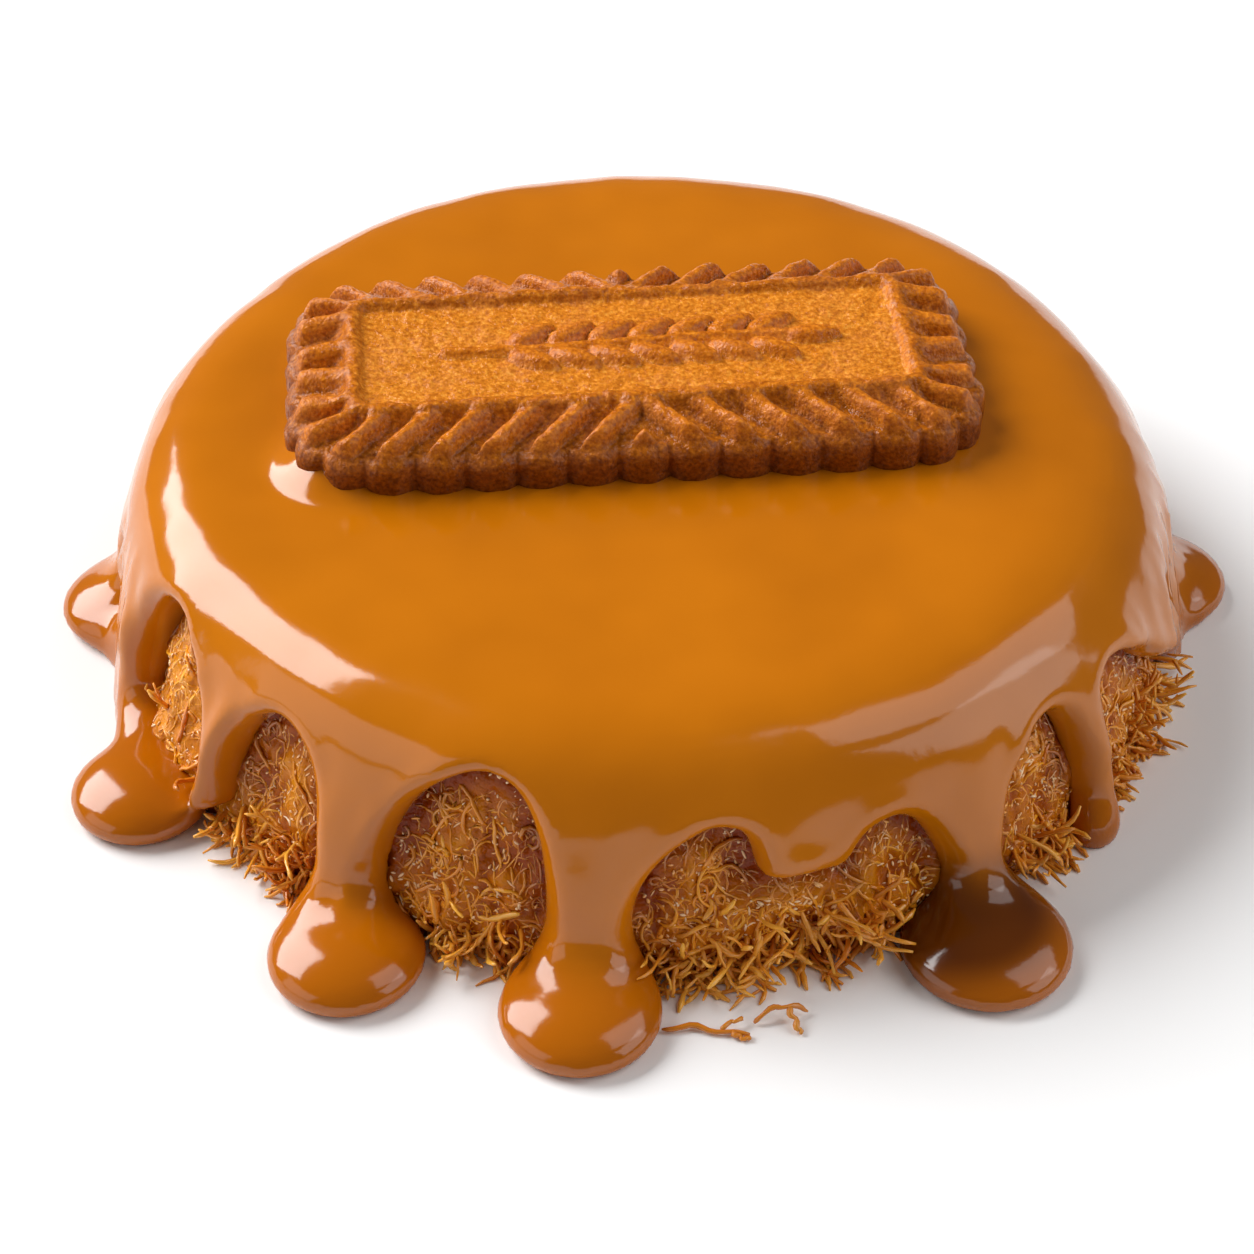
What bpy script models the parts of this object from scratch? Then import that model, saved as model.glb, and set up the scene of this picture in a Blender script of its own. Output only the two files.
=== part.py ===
"""Kunafa: a round cake of shredded pastry under a poured caramel glaze, with a ribbed biscuit on top.

Units are metres and +Z is up. The origin is the middle of the cake's underside, on the table.
Angles go round the cake from +X towards +Y, so the front, which faces -Y, is at -90 degrees.
"""
import math
import random

import bmesh
import bpy
from mathutils import Matrix, Vector, noise
from mathutils.bvhtree import BVHTree

MM = 0.001
GAP = 0.3 * MM
SEED = 7

# The bare pastry core under the glaze
CORE_HEIGHT = 18.8 * MM
CORE_RIM_RADIUS = 43.4 * MM
CORE_BASE_RADIUS = 48.0 * MM
CORE_RIM_REACH = 5.0 * MM
CORE_RIM_DROP = 4.2 * MM
CORE_DENTS = 0.7 * MM
CORE_DENT_SIZE = 3.0 * MM

# The outside of the glaze before its drips swell it
GLAZE_HEIGHT = 21.5 * MM
GLAZE_RIM_RADIUS = 46.3 * MM
GLAZE_BASE_RADIUS = 49.6 * MM
GLAZE_RIM_REACH = 7.0 * MM
GLAZE_RIM_DROP = 5.5 * MM
TURN_STEPS = 64
RIM_STEPS = 4
WALL_STEPS = 3

# Slow waves of the glaze round the cake: how many, how high in mm, and the angle of a crest
RIM_WAVES = ((1, 1.1, 96), (2, 0.4, 80), (3, 0.3, 80), (5, 0.25, -95))

# Arched openings in the glaze wall: left and right foot in degrees, top in mm, and how far
# the top leans off the middle, from -1 at the left foot to 1 at the right foot
OPENINGS = (
    (-176.5, -173.0, 11.0, 0.0),
    (-155.5, -143.5, 18.6, -0.35),
    (-153.0, -126.0, 4.6, 0.0),
    (-138.0, -126.0, 16.7, 0.05),
    (-118.0, -101.0, 18.4, 0.25),
    (-92.0, -79.5, 15.4, 0.35),
    (-92.0, -59.5, 10.7, 0.0),
    (-71.0, -59.5, 13.2, -0.1),
    (-52.5, -40.2, 15.6, 0.2),
    (-35.8, -22.0, 15.2, -0.55),
    (-35.8, -9.0, 10.0, -0.3),
    (-52.5, -9.0, 0.9, 0.0),
    (9.0, 24.0, 14.5, 0.1),
    (9.0, 47.0, 5.0, 0.0),
    (33.0, 47.0, 16.5, -0.2),
    (57.0, 76.0, 17.5, 0.2),
    (57.0, 98.0, 8.0, 0.0),
    (84.0, 98.0, 15.0, -0.1),
    (108.0, 124.0, 16.0, -0.2),
    (108.0, 147.0, 3.0, 0.0),
    (132.0, 147.0, 14.5, 0.2),
    (132.0, 174.0, 0.9, 0.0),
    (158.0, 174.0, 16.5, 0.0),
)

# Drips that swell the wall: angle in degrees, half width and lowest point in mm
DRIPS = (
    (-162.5, 4.6, 0.0),
    (-140.8, 2.6, 2.8),
    (-122.5, 3.6, 0.0),
    (-96.5, 3.7, 0.0),
    (-76.0, 4.4, 11.2),
    (-56.0, 3.3, 0.0),
    (-38.0, 2.3, 0.4),
    (-30.5, 2.4, 13.0),
    (-21.0, 2.8, 9.0),
    (1.0, 4.2, 0.0),
    (28.5, 3.3, 6.0),
    (52.0, 3.6, 0.0),
    (80.0, 3.2, 9.0),
    (103.0, 3.8, 0.0),
    (128.0, 3.3, 3.8),
    (152.0, 3.6, 0.4),
    (179.0, 3.8, 0.0),
)
DRIP_SWELL = 1.2 * MM
DRIP_START = 15.5 * MM
DRIP_POINTS = 9
DRIP_FLARE = 0.6
SHORTEST_TUBE = 5.0 * MM

# Pools on the table: angle in degrees, distance from the middle, radius and height in mm
POOLS = (
    (-179.0, 49.2, 6.3, 3.8),
    (-149.0, 51.9, 6.1, 3.9),
    (-118.0, 52.5, 6.4, 4.0),
    (-96.5, 53.0, 6.5, 4.0),
    (-59.0, 52.5, 7.1, 4.0),
    (3.0, 48.6, 6.3, 3.8),
    (52.0, 52.5, 6.5, 3.9),
    (104.0, 52.8, 6.7, 3.9),
)
POOL_WAIST = 1.2 * MM

GLAZE_VOXEL = 0.7 * MM
GLAZE_SMOOTHING = 7
GLAZE_TRIANGLES = 5000

# The ribbed biscuit: an oblong with round corners and a scalloped side
BISCUIT_LENGTH = 62.0 * MM
BISCUIT_WIDTH = 28.3 * MM
BISCUIT_CORNER = 7.5 * MM
BISCUIT_PLACE = (-1.8 * MM, 4.6 * MM)
BISCUIT_TURN = 5.2
BISCUIT_SUNK = 0.8 * MM
SCALLOPS_PER_QUARTER = 9.5
STEPS_PER_QUARTER = 38
SCALLOP_DEPTH = 0.8 * MM
RIB_HEIGHT = 0.95 * MM
RIB_SLANT = 0.8
END_BORDER_EXTRA = 0.14

# The biscuit's rings from its underside to its panel: distance in from the edge and height in
# mm, and how much of the scallops and of the ribs each one has
BISCUIT_RINGS = (
    (0.4, 0.0, 0.8, 0.0),
    (0.0, 3.9, 1.0, 0.0),
    (0.8, 4.9, 0.9, 0.6),
    (2.7, 5.5, 0.4, 1.0),
    (4.8, 5.7, 0.0, 0.6),
    (5.6, 6.7, 0.0, 0.1),
    (6.3, 6.7, 0.0, 0.1),
    (6.9, 6.0, 0.0, 0.0),
)

# The wheat ear embossed on the biscuit's panel
EAR_LENGTH = 27.0 * MM
EAR_PAIRS = 7
GRAIN_SIZE = (2.3 * MM, 0.95 * MM, 0.7 * MM)
GRAIN_SPREAD = 1.75 * MM
GRAIN_LEAN = 30.0
STEM_RADIUS = 0.5 * MM

# Shreds of pastry that stand out of the core
FRINGE_SHREDS = 80
WALL_SHREDS = 26
SHRED_RADIUS = 0.45 * MM
SHRED_STEPS = 3
GLAZE_CLEARANCE = 0.4 * MM

PASTRY_COLOUR = (0.36, 0.17, 0.03)
CARAMEL_COLOUR = (0.50, 0.20, 0.03)
BISCUIT_COLOUR = (0.38, 0.13, 0.03)


def clear_scene():
    for old in list(bpy.data.objects):
        bpy.data.objects.remove(old)


def new_collection(name):
    collection = bpy.data.collections.new(name)
    bpy.context.scene.collection.children.link(collection)
    return collection


def new_object(name, mesh, collection):
    piece = bpy.data.objects.new(name, mesh)
    collection.objects.link(piece)
    return piece


def mesh_from(bm, name):
    """Turn a closed bmesh into a mesh with its faces pointing out."""
    bmesh.ops.recalc_face_normals(bm, faces=bm.faces)
    mesh = bpy.data.meshes.new(name)
    bm.to_mesh(mesh)
    bm.free()
    return mesh


def evaluated_mesh(piece):
    graph = bpy.context.evaluated_depsgraph_get()
    return bpy.data.meshes.new_from_object(piece.evaluated_get(graph))


def apply_modifiers(piece):
    mesh = evaluated_mesh(piece)
    piece.modifiers.clear()
    piece.data = mesh


def combine(piece, operation, tools, solver):
    """Join the piece with every object of a collection, or cut it by them, and remove them."""
    boolean = piece.modifiers.new(operation.title(), "BOOLEAN")
    boolean.operation = operation
    boolean.operand_type = "COLLECTION"
    boolean.collection = tools
    boolean.solver = solver
    apply_modifiers(piece)
    for tool in list(tools.objects):
        bpy.data.objects.remove(tool)


def closed_curve_mesh(curve, name):
    """The closed mesh of a bevelled curve, whose caps start loose."""
    guide = new_object(name, curve, bpy.context.scene.collection)
    mesh = evaluated_mesh(guide)
    bpy.data.objects.remove(guide)
    bm = bmesh.new()
    bm.from_mesh(mesh)
    bmesh.ops.remove_doubles(bm, verts=bm.verts, dist=0.001 * MM)
    return mesh_from(bm, name)


def tube(name, points, radii, sides):
    """A closed tube through the points, with a radius at each; sides is its bevel resolution."""
    curve = bpy.data.curves.new(name, "CURVE")
    curve.dimensions = "3D"
    curve.bevel_depth = 1.0
    curve.bevel_resolution = sides
    curve.use_fill_caps = True
    spline = curve.splines.new("POLY")
    spline.points.add(len(points) - 1)
    for knot, place, radius in zip(spline.points, points, radii):
        knot.co = (*place, 1.0)
        knot.radius = radius
    return closed_curve_mesh(curve, name)


def squashed_ball(size, segments, rings):
    bm = bmesh.new()
    bmesh.ops.create_uvsphere(bm, u_segments=segments, v_segments=rings, radius=1.0)
    bmesh.ops.scale(bm, verts=bm.verts, vec=size)
    return mesh_from(bm, "ball")


def largest_body(piece):
    """Drop all but the largest of the closed bodies in a mesh."""
    bm = bmesh.new()
    bm.from_mesh(piece.data)
    unseen = set(bm.faces)
    bodies = []
    while unseen:
        body = []
        waiting = [unseen.pop()]
        while waiting:
            face = waiting.pop()
            body.append(face)
            for edge in face.edges:
                for neighbour in edge.link_faces:
                    if neighbour in unseen:
                        unseen.remove(neighbour)
                        waiting.append(neighbour)
        bodies.append(body)
    bodies.sort(key=len)
    scraps = [face for body in bodies[:-1] for face in body]
    bmesh.ops.delete(bm, geom=scraps, context="FACES")
    bm.to_mesh(piece.data)
    bm.free()


def finish(piece, colour, roughness, parent):
    """Give the piece its material, smooth shading and parent."""
    material = bpy.data.materials.new(piece.name)
    material.use_nodes = True
    shader = material.node_tree.nodes["Principled BSDF"]
    shader.inputs["Base Color"].default_value = (*colour, 1.0)
    shader.inputs["Roughness"].default_value = roughness
    shader.inputs["Metallic"].default_value = 0.0
    piece.data.materials.clear()
    piece.data.materials.append(material)
    piece.data.shade_smooth()
    piece.data.set_sharp_from_angle(angle=math.radians(50))
    piece.parent = parent


def around(angle, radius, height):
    """The point at an angle in degrees round the cake."""
    turn = math.radians(angle)
    return Vector((radius * math.cos(turn), radius * math.sin(turn), height))


def cake_profile(height, rim_radius, base_radius, reach, drop, foot):
    """The outline of a flat cake with a rolled rim, down from the middle of its top."""
    points = [(0.0, height)]
    for step in range(RIM_STEPS + 1):
        turn = math.pi / 2 * step / RIM_STEPS
        points.append((rim_radius - reach * (1 - math.sin(turn)), height - drop * (1 - math.cos(turn))))
    for step in range(1, WALL_STEPS + 1):
        down = step / WALL_STEPS
        points.append((rim_radius + (base_radius - rim_radius) * down, (height - drop) * (1 - down)))
    if foot < 0:
        points.append((base_radius, foot))
    points.append((0.0, foot))
    return points


def turned(name, profile, collection):
    """A closed solid turned from an outline that starts and ends on the axis."""
    mesh = bpy.data.meshes.new(name)
    corners = [(radius, 0.0, height) for radius, height in profile]
    mesh.from_pydata(corners, [(step, step + 1) for step in range(len(corners) - 1)], [])
    piece = new_object(name, mesh, collection)
    screw = piece.modifiers.new("Turn", "SCREW")
    screw.steps = TURN_STEPS
    screw.render_steps = TURN_STEPS
    screw.use_merge_vertices = True
    screw.merge_threshold = 0.01 * MM
    apply_modifiers(piece)
    return piece


def core_radius(height):
    """The bare core's radius at a height."""
    shoulder = CORE_HEIGHT - CORE_RIM_DROP
    if height > shoulder:
        climb = min((height - shoulder) / CORE_RIM_DROP, 1.0)
        return CORE_RIM_RADIUS - CORE_RIM_REACH * (1 - math.sqrt(1 - climb ** 2))
    return CORE_BASE_RADIUS + (CORE_RIM_RADIUS - CORE_BASE_RADIUS) * height / shoulder


def turned_core(name, collection, grow=0.0, foot=0.0):
    profile = cake_profile(CORE_HEIGHT + grow, CORE_RIM_RADIUS + grow, CORE_BASE_RADIUS + grow,
                           CORE_RIM_REACH, CORE_RIM_DROP, foot)
    return turned(name, profile, collection)


def arch_outline(half_width, top, lean):
    """A round-topped arch as (sideways, height), with its feet below the table."""
    below = -4.0 * MM
    rise = min(top - below, 1.25 * half_width + 2.0 * MM)
    points = [(-half_width, below), (half_width, below)]
    steps = 14
    for step in range(steps + 1):
        turn = math.pi * step / steps
        climb = math.sin(turn)
        points.append((half_width * (math.cos(turn) + lean * climb ** 2), top - rise * (1 - climb)))
    return points


def opening_cutter(left, right, top, lean, collection):
    """An arch-shaped block that stands across the glaze wall."""
    inner_end = 30.0 * MM
    length = 30.0 * MM
    half_width = GLAZE_BASE_RADIUS * math.tan(math.radians(right - left) / 2)
    bm = bmesh.new()
    corners = [bm.verts.new((inner_end, side, up)) for side, up in arch_outline(half_width, top * MM, lean)]
    face = bm.faces.new(corners)
    grown = bmesh.ops.extrude_face_region(bm, geom=[face])
    far_end = [item for item in grown["geom"] if isinstance(item, bmesh.types.BMVert)]
    bmesh.ops.translate(bm, verts=far_end, vec=(length, 0, 0))
    bmesh.ops.rotate(bm, verts=bm.verts, matrix=Matrix.Rotation(math.radians((left + right) / 2), 3, "Z"))
    return new_object("opening", mesh_from(bm, "opening"), collection)


def wave(angle):
    """How far the glaze swells outwards at an angle in degrees."""
    return sum(size * MM * math.cos(math.radians(count * (angle - crest)))
               for count, size, crest in RIM_WAVES)


def glaze_radius(angle, height):
    """The outer radius of the glaze wall below its rolled rim."""
    down = 1 - height / (GLAZE_HEIGHT - GLAZE_RIM_DROP)
    return GLAZE_RIM_RADIUS + (GLAZE_BASE_RADIUS - GLAZE_RIM_RADIUS) * down + wave(angle)


def drip_meshes(angle, half_width, lowest):
    """A round swelling down the wall that widens upwards, and the bead at its end."""
    end = (lowest + 0.8 * half_width) * MM
    points = []
    radii = []
    for step in range(DRIP_POINTS):
        down = step / (DRIP_POINTS - 1)
        height = DRIP_START + (end - DRIP_START) * down
        radius = half_width * MM * (1 + DRIP_FLARE * math.exp(-3 * down))
        swell = DRIP_SWELL * (1 - math.exp(-4 * down))
        points.append(around(angle, glaze_radius(angle, height) + swell - radius, height))
        radii.append(radius)
    bead = squashed_ball([half_width * MM] * 3, 20, 12)
    bead.transform(Matrix.Translation(points[-1]))
    if DRIP_START - end < SHORTEST_TUBE:
        return [bead]
    return [tube("drip", points, radii, 4), bead]


def pool_mesh(angle, distance, radius, height):
    """A round mound of glaze that bulges over its foot."""
    half_height = height * MM - POOL_WAIST
    mound = squashed_ball((radius * MM, radius * MM, half_height), 32, 16)
    mound.transform(Matrix.Translation(around(angle, distance * MM, POOL_WAIST)))
    return mound


def add_bodies(piece, meshes):
    """Put more closed bodies into the piece's mesh."""
    bm = bmesh.new()
    bm.from_mesh(piece.data)
    for mesh in meshes:
        bm.from_mesh(mesh)
    bm.to_mesh(piece.data)
    bm.free()


def melt_together(piece, voxel, smoothing, triangles):
    """Fuse overlapping bodies into one smooth skin with few faces."""
    remesh = piece.modifiers.new("Fuse", "REMESH")
    remesh.mode = "VOXEL"
    remesh.voxel_size = voxel
    smooth = piece.modifiers.new("Flow", "SMOOTH")
    smooth.factor = 0.5
    smooth.iterations = smoothing
    apply_modifiers(piece)
    piece.data.calc_loop_triangles()
    fewer = piece.modifiers.new("Simplify", "DECIMATE")
    fewer.ratio = triangles / len(piece.data.loop_triangles)
    apply_modifiers(piece)


def make_glaze(collection, tools):
    """The poured glaze: a cap over the cake with a wall of drips, and pools on the table."""
    profile = cake_profile(GLAZE_HEIGHT, GLAZE_RIM_RADIUS, GLAZE_BASE_RADIUS, GLAZE_RIM_REACH,
                           GLAZE_RIM_DROP, -3.0 * MM)
    glaze = turned("caramel_glaze", profile, collection)
    for vertex in glaze.data.vertices:
        away = math.hypot(vertex.co.x, vertex.co.y)
        if away > CORE_RIM_RADIUS / 2:
            swollen = 1 + wave(math.degrees(math.atan2(vertex.co.y, vertex.co.x))) / away
            vertex.co.x *= swollen
            vertex.co.y *= swollen
    for left, right, top, lean in OPENINGS:
        opening_cutter(left, right, top, lean, tools)
    combine(glaze, "DIFFERENCE", tools, "MANIFOLD")
    bodies = [mesh for drip in DRIPS for mesh in drip_meshes(*drip)]
    bodies += [pool_mesh(*pool) for pool in POOLS]
    add_bodies(glaze, bodies)
    melt_together(glaze, GLAZE_VOXEL, GLAZE_SMOOTHING, GLAZE_TRIANGLES)
    turned_core("hollow", tools, grow=GAP, foot=-5.0 * MM)
    combine(glaze, "DIFFERENCE", tools, "MANIFOLD")
    table_cutter(tools)
    biscuit_seat(tools)
    combine(glaze, "DIFFERENCE", tools, "MANIFOLD")
    largest_body(glaze)
    return glaze


def table_cutter(tools):
    """A block with its top at the table's surface."""
    bm = bmesh.new()
    bmesh.ops.create_cube(bm, size=1.0)
    bmesh.ops.scale(bm, verts=bm.verts, vec=(200 * MM, 200 * MM, 10 * MM))
    bmesh.ops.translate(bm, verts=bm.verts, vec=(0, 0, -5 * MM))
    return new_object("table", mesh_from(bm, "table"), tools)


def biscuit_edge(step, grow=0.0):
    """A point of the biscuit's outline, its outward direction, its distance along the quarter
    from the middle of a long side, and how far it has turned towards the end, from 0 to 1."""
    half_length = BISCUIT_LENGTH / 2
    half_width = BISCUIT_WIDTH / 2
    straight = half_length - BISCUIT_CORNER
    bend = BISCUIT_CORNER * math.pi / 2
    quarter_length = straight + bend + half_width - BISCUIT_CORNER
    quarter, place = divmod(step, STEPS_PER_QUARTER)
    if quarter % 2:
        place = STEPS_PER_QUARTER - place
    along = quarter_length * place / STEPS_PER_QUARTER
    turn = min(max((along - straight) / BISCUIT_CORNER, 0.0), math.pi / 2)
    out = Vector((math.sin(turn), -math.cos(turn)))
    point = Vector((straight, BISCUIT_CORNER - half_width)) + (BISCUIT_CORNER + grow) * out
    point.x += min(along - straight, 0.0)
    point.y += max(along - straight - bend, 0.0)
    flip = Vector((1 if quarter in (0, 1) else -1, 1 if quarter in (0, 3) else -1))
    return point * flip, out * flip, along / quarter_length, turn / (math.pi / 2)


def biscuit_ring(bm, inset, height, scallops, ribs):
    """One ring of the biscuit's surface, with its share of the scallops and slanted ribs."""
    quarter_length = BISCUIT_LENGTH / 2 + BISCUIT_WIDTH / 2 - (2 - math.pi / 2) * BISCUIT_CORNER
    ring = []
    for step in range(4 * STEPS_PER_QUARTER):
        point, out, along, towards_end = biscuit_edge(step)
        lobe = math.sqrt(abs(math.cos(math.pi * along * SCALLOPS_PER_QUARTER))) - 1
        slip = RIB_SLANT * (1 - towards_end) * inset * MM / quarter_length
        crest = 0.5 + 0.5 * math.cos(2 * math.pi * (along + slip) * SCALLOPS_PER_QUARTER)
        reach = scallops * SCALLOP_DEPTH * lobe - inset * MM * (1 + END_BORDER_EXTRA * towards_end)
        place = point + out * reach
        ring.append(bm.verts.new((place.x, place.y, height * MM + ribs * RIB_HEIGHT * crest)))
    return ring


def loft(bm, rings):
    """A closed skin through rings that have the same number of points."""
    bm.faces.new(reversed(rings[0]))
    bm.faces.new(rings[-1])
    for lower, upper in zip(rings, rings[1:]):
        for step in range(len(lower)):
            bm.faces.new((lower[step - 1], lower[step], upper[step], upper[step - 1]))


def wheat_ear(tools):
    """A stem with pairs of leaning grains and one at the tip, to be fused to the panel."""
    panel = BISCUIT_RINGS[-1][1] * MM
    start = -0.5 * EAR_LENGTH - 3.0 * MM
    stem = [(start, -1.2 * MM, panel), (-0.5 * EAR_LENGTH, -0.3 * MM, panel), (0.5 * EAR_LENGTH, 0.0, panel)]
    new_object("stem", tube("stem", stem, [STEM_RADIUS] * len(stem), 2), tools)
    places = [(0.5 * EAR_LENGTH + 1.5 * MM, 0.0, 0.0)]
    for pair in range(EAR_PAIRS):
        along = EAR_LENGTH * ((pair + 0.5) / EAR_PAIRS - 0.5)
        places += [(along, side * GRAIN_SPREAD, side * GRAIN_LEAN) for side in (-1, 1)]
    for along, sideways, lean in places:
        grain = squashed_ball(GRAIN_SIZE, 8, 6)
        grain.transform(Matrix.Rotation(math.radians(lean), 4, "Z"))
        grain.transform(Matrix.Translation((along, sideways, panel)))
        new_object("grain", grain, tools)


def place_on_cake(piece):
    """Lay the biscuit, or what is cut for it, in its place in the glaze."""
    piece.location = (*BISCUIT_PLACE, GLAZE_HEIGHT - BISCUIT_SUNK)
    piece.rotation_euler.z = math.radians(BISCUIT_TURN)


def make_biscuit(collection, tools):
    """The ribbed oblong biscuit with a sunken panel and a wheat ear embossed on it."""
    bm = bmesh.new()
    loft(bm, [biscuit_ring(bm, *ring) for ring in BISCUIT_RINGS])
    biscuit = new_object("ribbed_biscuit", mesh_from(bm, "ribbed_biscuit"), collection)
    wheat_ear(tools)
    combine(biscuit, "UNION", tools, "MANIFOLD")
    place_on_cake(biscuit)
    return biscuit


def biscuit_seat(tools):
    """A block a little larger than the biscuit, which cuts its seat in the glaze."""
    bm = bmesh.new()
    outline = [biscuit_edge(step, GAP)[0] for step in range(0, 4 * STEPS_PER_QUARTER, 2)]
    rings = [[bm.verts.new((point.x, point.y, height)) for point in outline] for height in (-GAP, 10 * MM)]
    loft(bm, rings)
    place_on_cake(new_object("seat", mesh_from(bm, "seat"), tools))


def fringe_path(angle):
    """A shred at the foot of the wall, splayed out and curling down towards the table."""
    height = random.uniform(0.9, 4.5) * MM
    length = random.uniform(2.4, 4.6) * MM
    swing = random.uniform(-0.8, 0.8)
    lift = random.uniform(-0.1, 0.45)
    curl = random.uniform(-0.5, 0.5)
    root = around(angle, core_radius(height) - 1.6 * MM, height)
    outward = around(angle, 1.0, 0.0)
    sideways = around(angle + 90, 1.0, 0.0)
    path = []
    for step in range(SHRED_STEPS + 1):
        share = step / SHRED_STEPS
        run = share * (length + 1.6 * MM)
        place = root + outward * run + sideways * run * (swing * share + curl * share ** 2)
        place.z = max(height + run * (lift * (1 - share) - 0.25 * share), 1.05 * SHRED_RADIUS)
        path.append(place)
    return path


def wall_path(angle):
    """A shred that arches a little way out of the wall and goes back into it."""
    height = random.uniform(2.5, 17.0) * MM
    length = random.uniform(4.0, 8.0) * MM
    slope = random.uniform(-1.3, 1.3)
    path = []
    for step in range(SHRED_STEPS + 1):
        share = step / SHRED_STEPS
        run = (share - 0.5) * length
        up = min(max(height + run * math.sin(slope), 1.0 * MM), 17.5 * MM)
        out = core_radius(up) - 1.3 * MM + 1.7 * MM * math.sin(math.pi * share)
        path.append(around(angle + math.degrees(run * math.cos(slope) / out), out, up))
    return path


def is_clear(path, skin):
    """Whether a shred keeps clear of the glaze along its whole length."""
    for first, second in zip(path, path[1:]):
        for place in (first, (first + second) / 2, second):
            nearest, normal, _, distance = skin.find_nearest(place)
            if distance < SHRED_RADIUS + GLAZE_CLEARANCE:
                return False
            beyond_core = math.hypot(place.x, place.y) > core_radius(place.z) + GAP
            if beyond_core and (place - nearest).dot(normal) < 0:
                return False
    return True


def make_pastry(collection, tools, glaze):
    """The shredded pastry: a dented core with the shreds that stand out of it fused on."""
    pastry = turned_core("shredded_pastry", collection)
    for vertex in pastry.data.vertices:
        away = math.hypot(vertex.co.x, vertex.co.y)
        if away > CORE_RIM_RADIUS - CORE_RIM_REACH:
            dent = CORE_DENTS * (0.5 + 0.5 * noise.noise(vertex.co / CORE_DENT_SIZE))
            vertex.co.x *= 1 - dent / away
            vertex.co.y *= 1 - dent / away
    skin = BVHTree.FromPolygons([vertex.co for vertex in glaze.data.vertices],
                                [face.vertices for face in glaze.data.polygons])
    radii = [SHRED_RADIUS * (1 - 0.45 * (step / SHRED_STEPS) ** 2) for step in range(SHRED_STEPS + 1)]
    for make_path, wanted in ((fringe_path, FRINGE_SHREDS), (wall_path, WALL_SHREDS)):
        made = 0
        while made < wanted:
            path = make_path(random.uniform(-180, 180))
            if is_clear(path, skin):
                new_object("shred", tube("shred", path, radii, 0), tools)
                made += 1
    combine(pastry, "UNION", tools, "MANIFOLD")
    largest_body(pastry)
    return pastry


def build():
    clear_scene()
    random.seed(SEED)
    parts = new_collection("kunafa")
    tools = new_collection("cutters")
    cake = new_object("kunafa", None, parts)
    glaze = make_glaze(parts, tools)
    pastry = make_pastry(parts, tools, glaze)
    biscuit = make_biscuit(parts, tools)
    finish(pastry, PASTRY_COLOUR, 0.45, cake)
    finish(glaze, CARAMEL_COLOUR, 0.15, cake)
    finish(biscuit, BISCUIT_COLOUR, 0.5, cake)


build()
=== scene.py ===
"""The looks of a kunafa: syrupy shredded pastry, a poured caramel glaze and a ribbed biscuit.

Shapes are worked out in millimetres with numpy, and become Blender meshes in metres.
Angles go round the cake from +X towards +Y, so the front, which faces -Y, is at -90 degrees.
The tables and named values below are in millimetres and degrees, and colours are linear.
A pair named for what fades, grows, widens or starts says where that begins and where it is complete.
"""
import math

import bmesh
import bpy
import numpy as np
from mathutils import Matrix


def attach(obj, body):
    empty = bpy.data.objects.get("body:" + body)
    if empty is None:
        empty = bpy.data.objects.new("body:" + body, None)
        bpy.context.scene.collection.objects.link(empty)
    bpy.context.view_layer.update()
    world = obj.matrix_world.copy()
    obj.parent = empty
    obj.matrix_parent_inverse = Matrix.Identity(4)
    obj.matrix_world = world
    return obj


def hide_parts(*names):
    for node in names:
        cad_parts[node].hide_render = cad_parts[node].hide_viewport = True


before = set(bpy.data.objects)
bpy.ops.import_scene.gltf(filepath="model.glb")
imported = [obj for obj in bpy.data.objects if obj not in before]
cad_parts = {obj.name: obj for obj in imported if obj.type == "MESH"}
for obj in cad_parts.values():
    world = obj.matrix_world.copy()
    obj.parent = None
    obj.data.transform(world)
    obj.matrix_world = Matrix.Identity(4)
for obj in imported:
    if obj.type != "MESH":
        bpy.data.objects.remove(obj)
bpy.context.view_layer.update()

import openvdb
from mathutils import Matrix, Vector

MM = 0.001
TINY = 1e-6
rng = np.random.default_rng(11)
NOISE_TABLE_SIZE = 4096
NOISE_HASH = (73856093, 19349663, 83492791)

# The pastry core
CORE_HEIGHT = 18.8
CORE_RIM_RADIUS = 43.4
CORE_BASE_RADIUS = 48.0
CORE_RIM_REACH = 5.0
CORE_RIM_DROP = 4.2
CORE_RIM_ROLL = 6.0
CORE_WALL_SCALE = 0.95

# The outside of the glaze
GLAZE_HEIGHT = 21.5
GLAZE_RIM_RADIUS = 46.9
GLAZE_BASE_RADIUS = 49.6
GLAZE_RIM_DROP = 5.5
GLAZE_RIM_ROLL = 7.7
GLAZE_WALL_SCALE = 0.85
ROLL_CHANGE = 1.6
ROLL_TIGHTEST = -165
GLAZE_BOX = ((-58.0, -62.5, -0.9), (57.5, 61.5, 23.5))
GLAZE_VOXEL = 0.53
GLAZE_SINK = 0.6

# Waves of the glaze's outline: count, size, and angle of a crest
RIM_WAVES = ((1, 1.5, 93), (2, 0.45, 80), (3, 0.3, 80), (5, 0.25, -95))
WAVE_AT_FOOT = 0.55
WAVE_GAIN = 0.45
WAVE_GROWS = (2.0, 14.0)

# Unevenness of the glaze: height, size and seed of its noise
WALL_BUMPS = (0.22, 6.0, 3)
TOP_BUMPS = (0.05, 9.0, 4)
SKIN_BUMPS = (0.05, 3.4, 6)

# Fine streaks down the wall; they are strongest at two places with a strength, an angle and a width
STREAK_DEPTH = 0.3
STREAK_SIZE = 2.4
STREAK_SEED = 7
STREAK_LEVEL = 0.7
STREAKS_ELSEWHERE = 0.3
STREAKS_STRONG = ((1, -152, 13), (1, -12, 24))
STREAKS_FADE = (12.0, 19.0)

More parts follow.
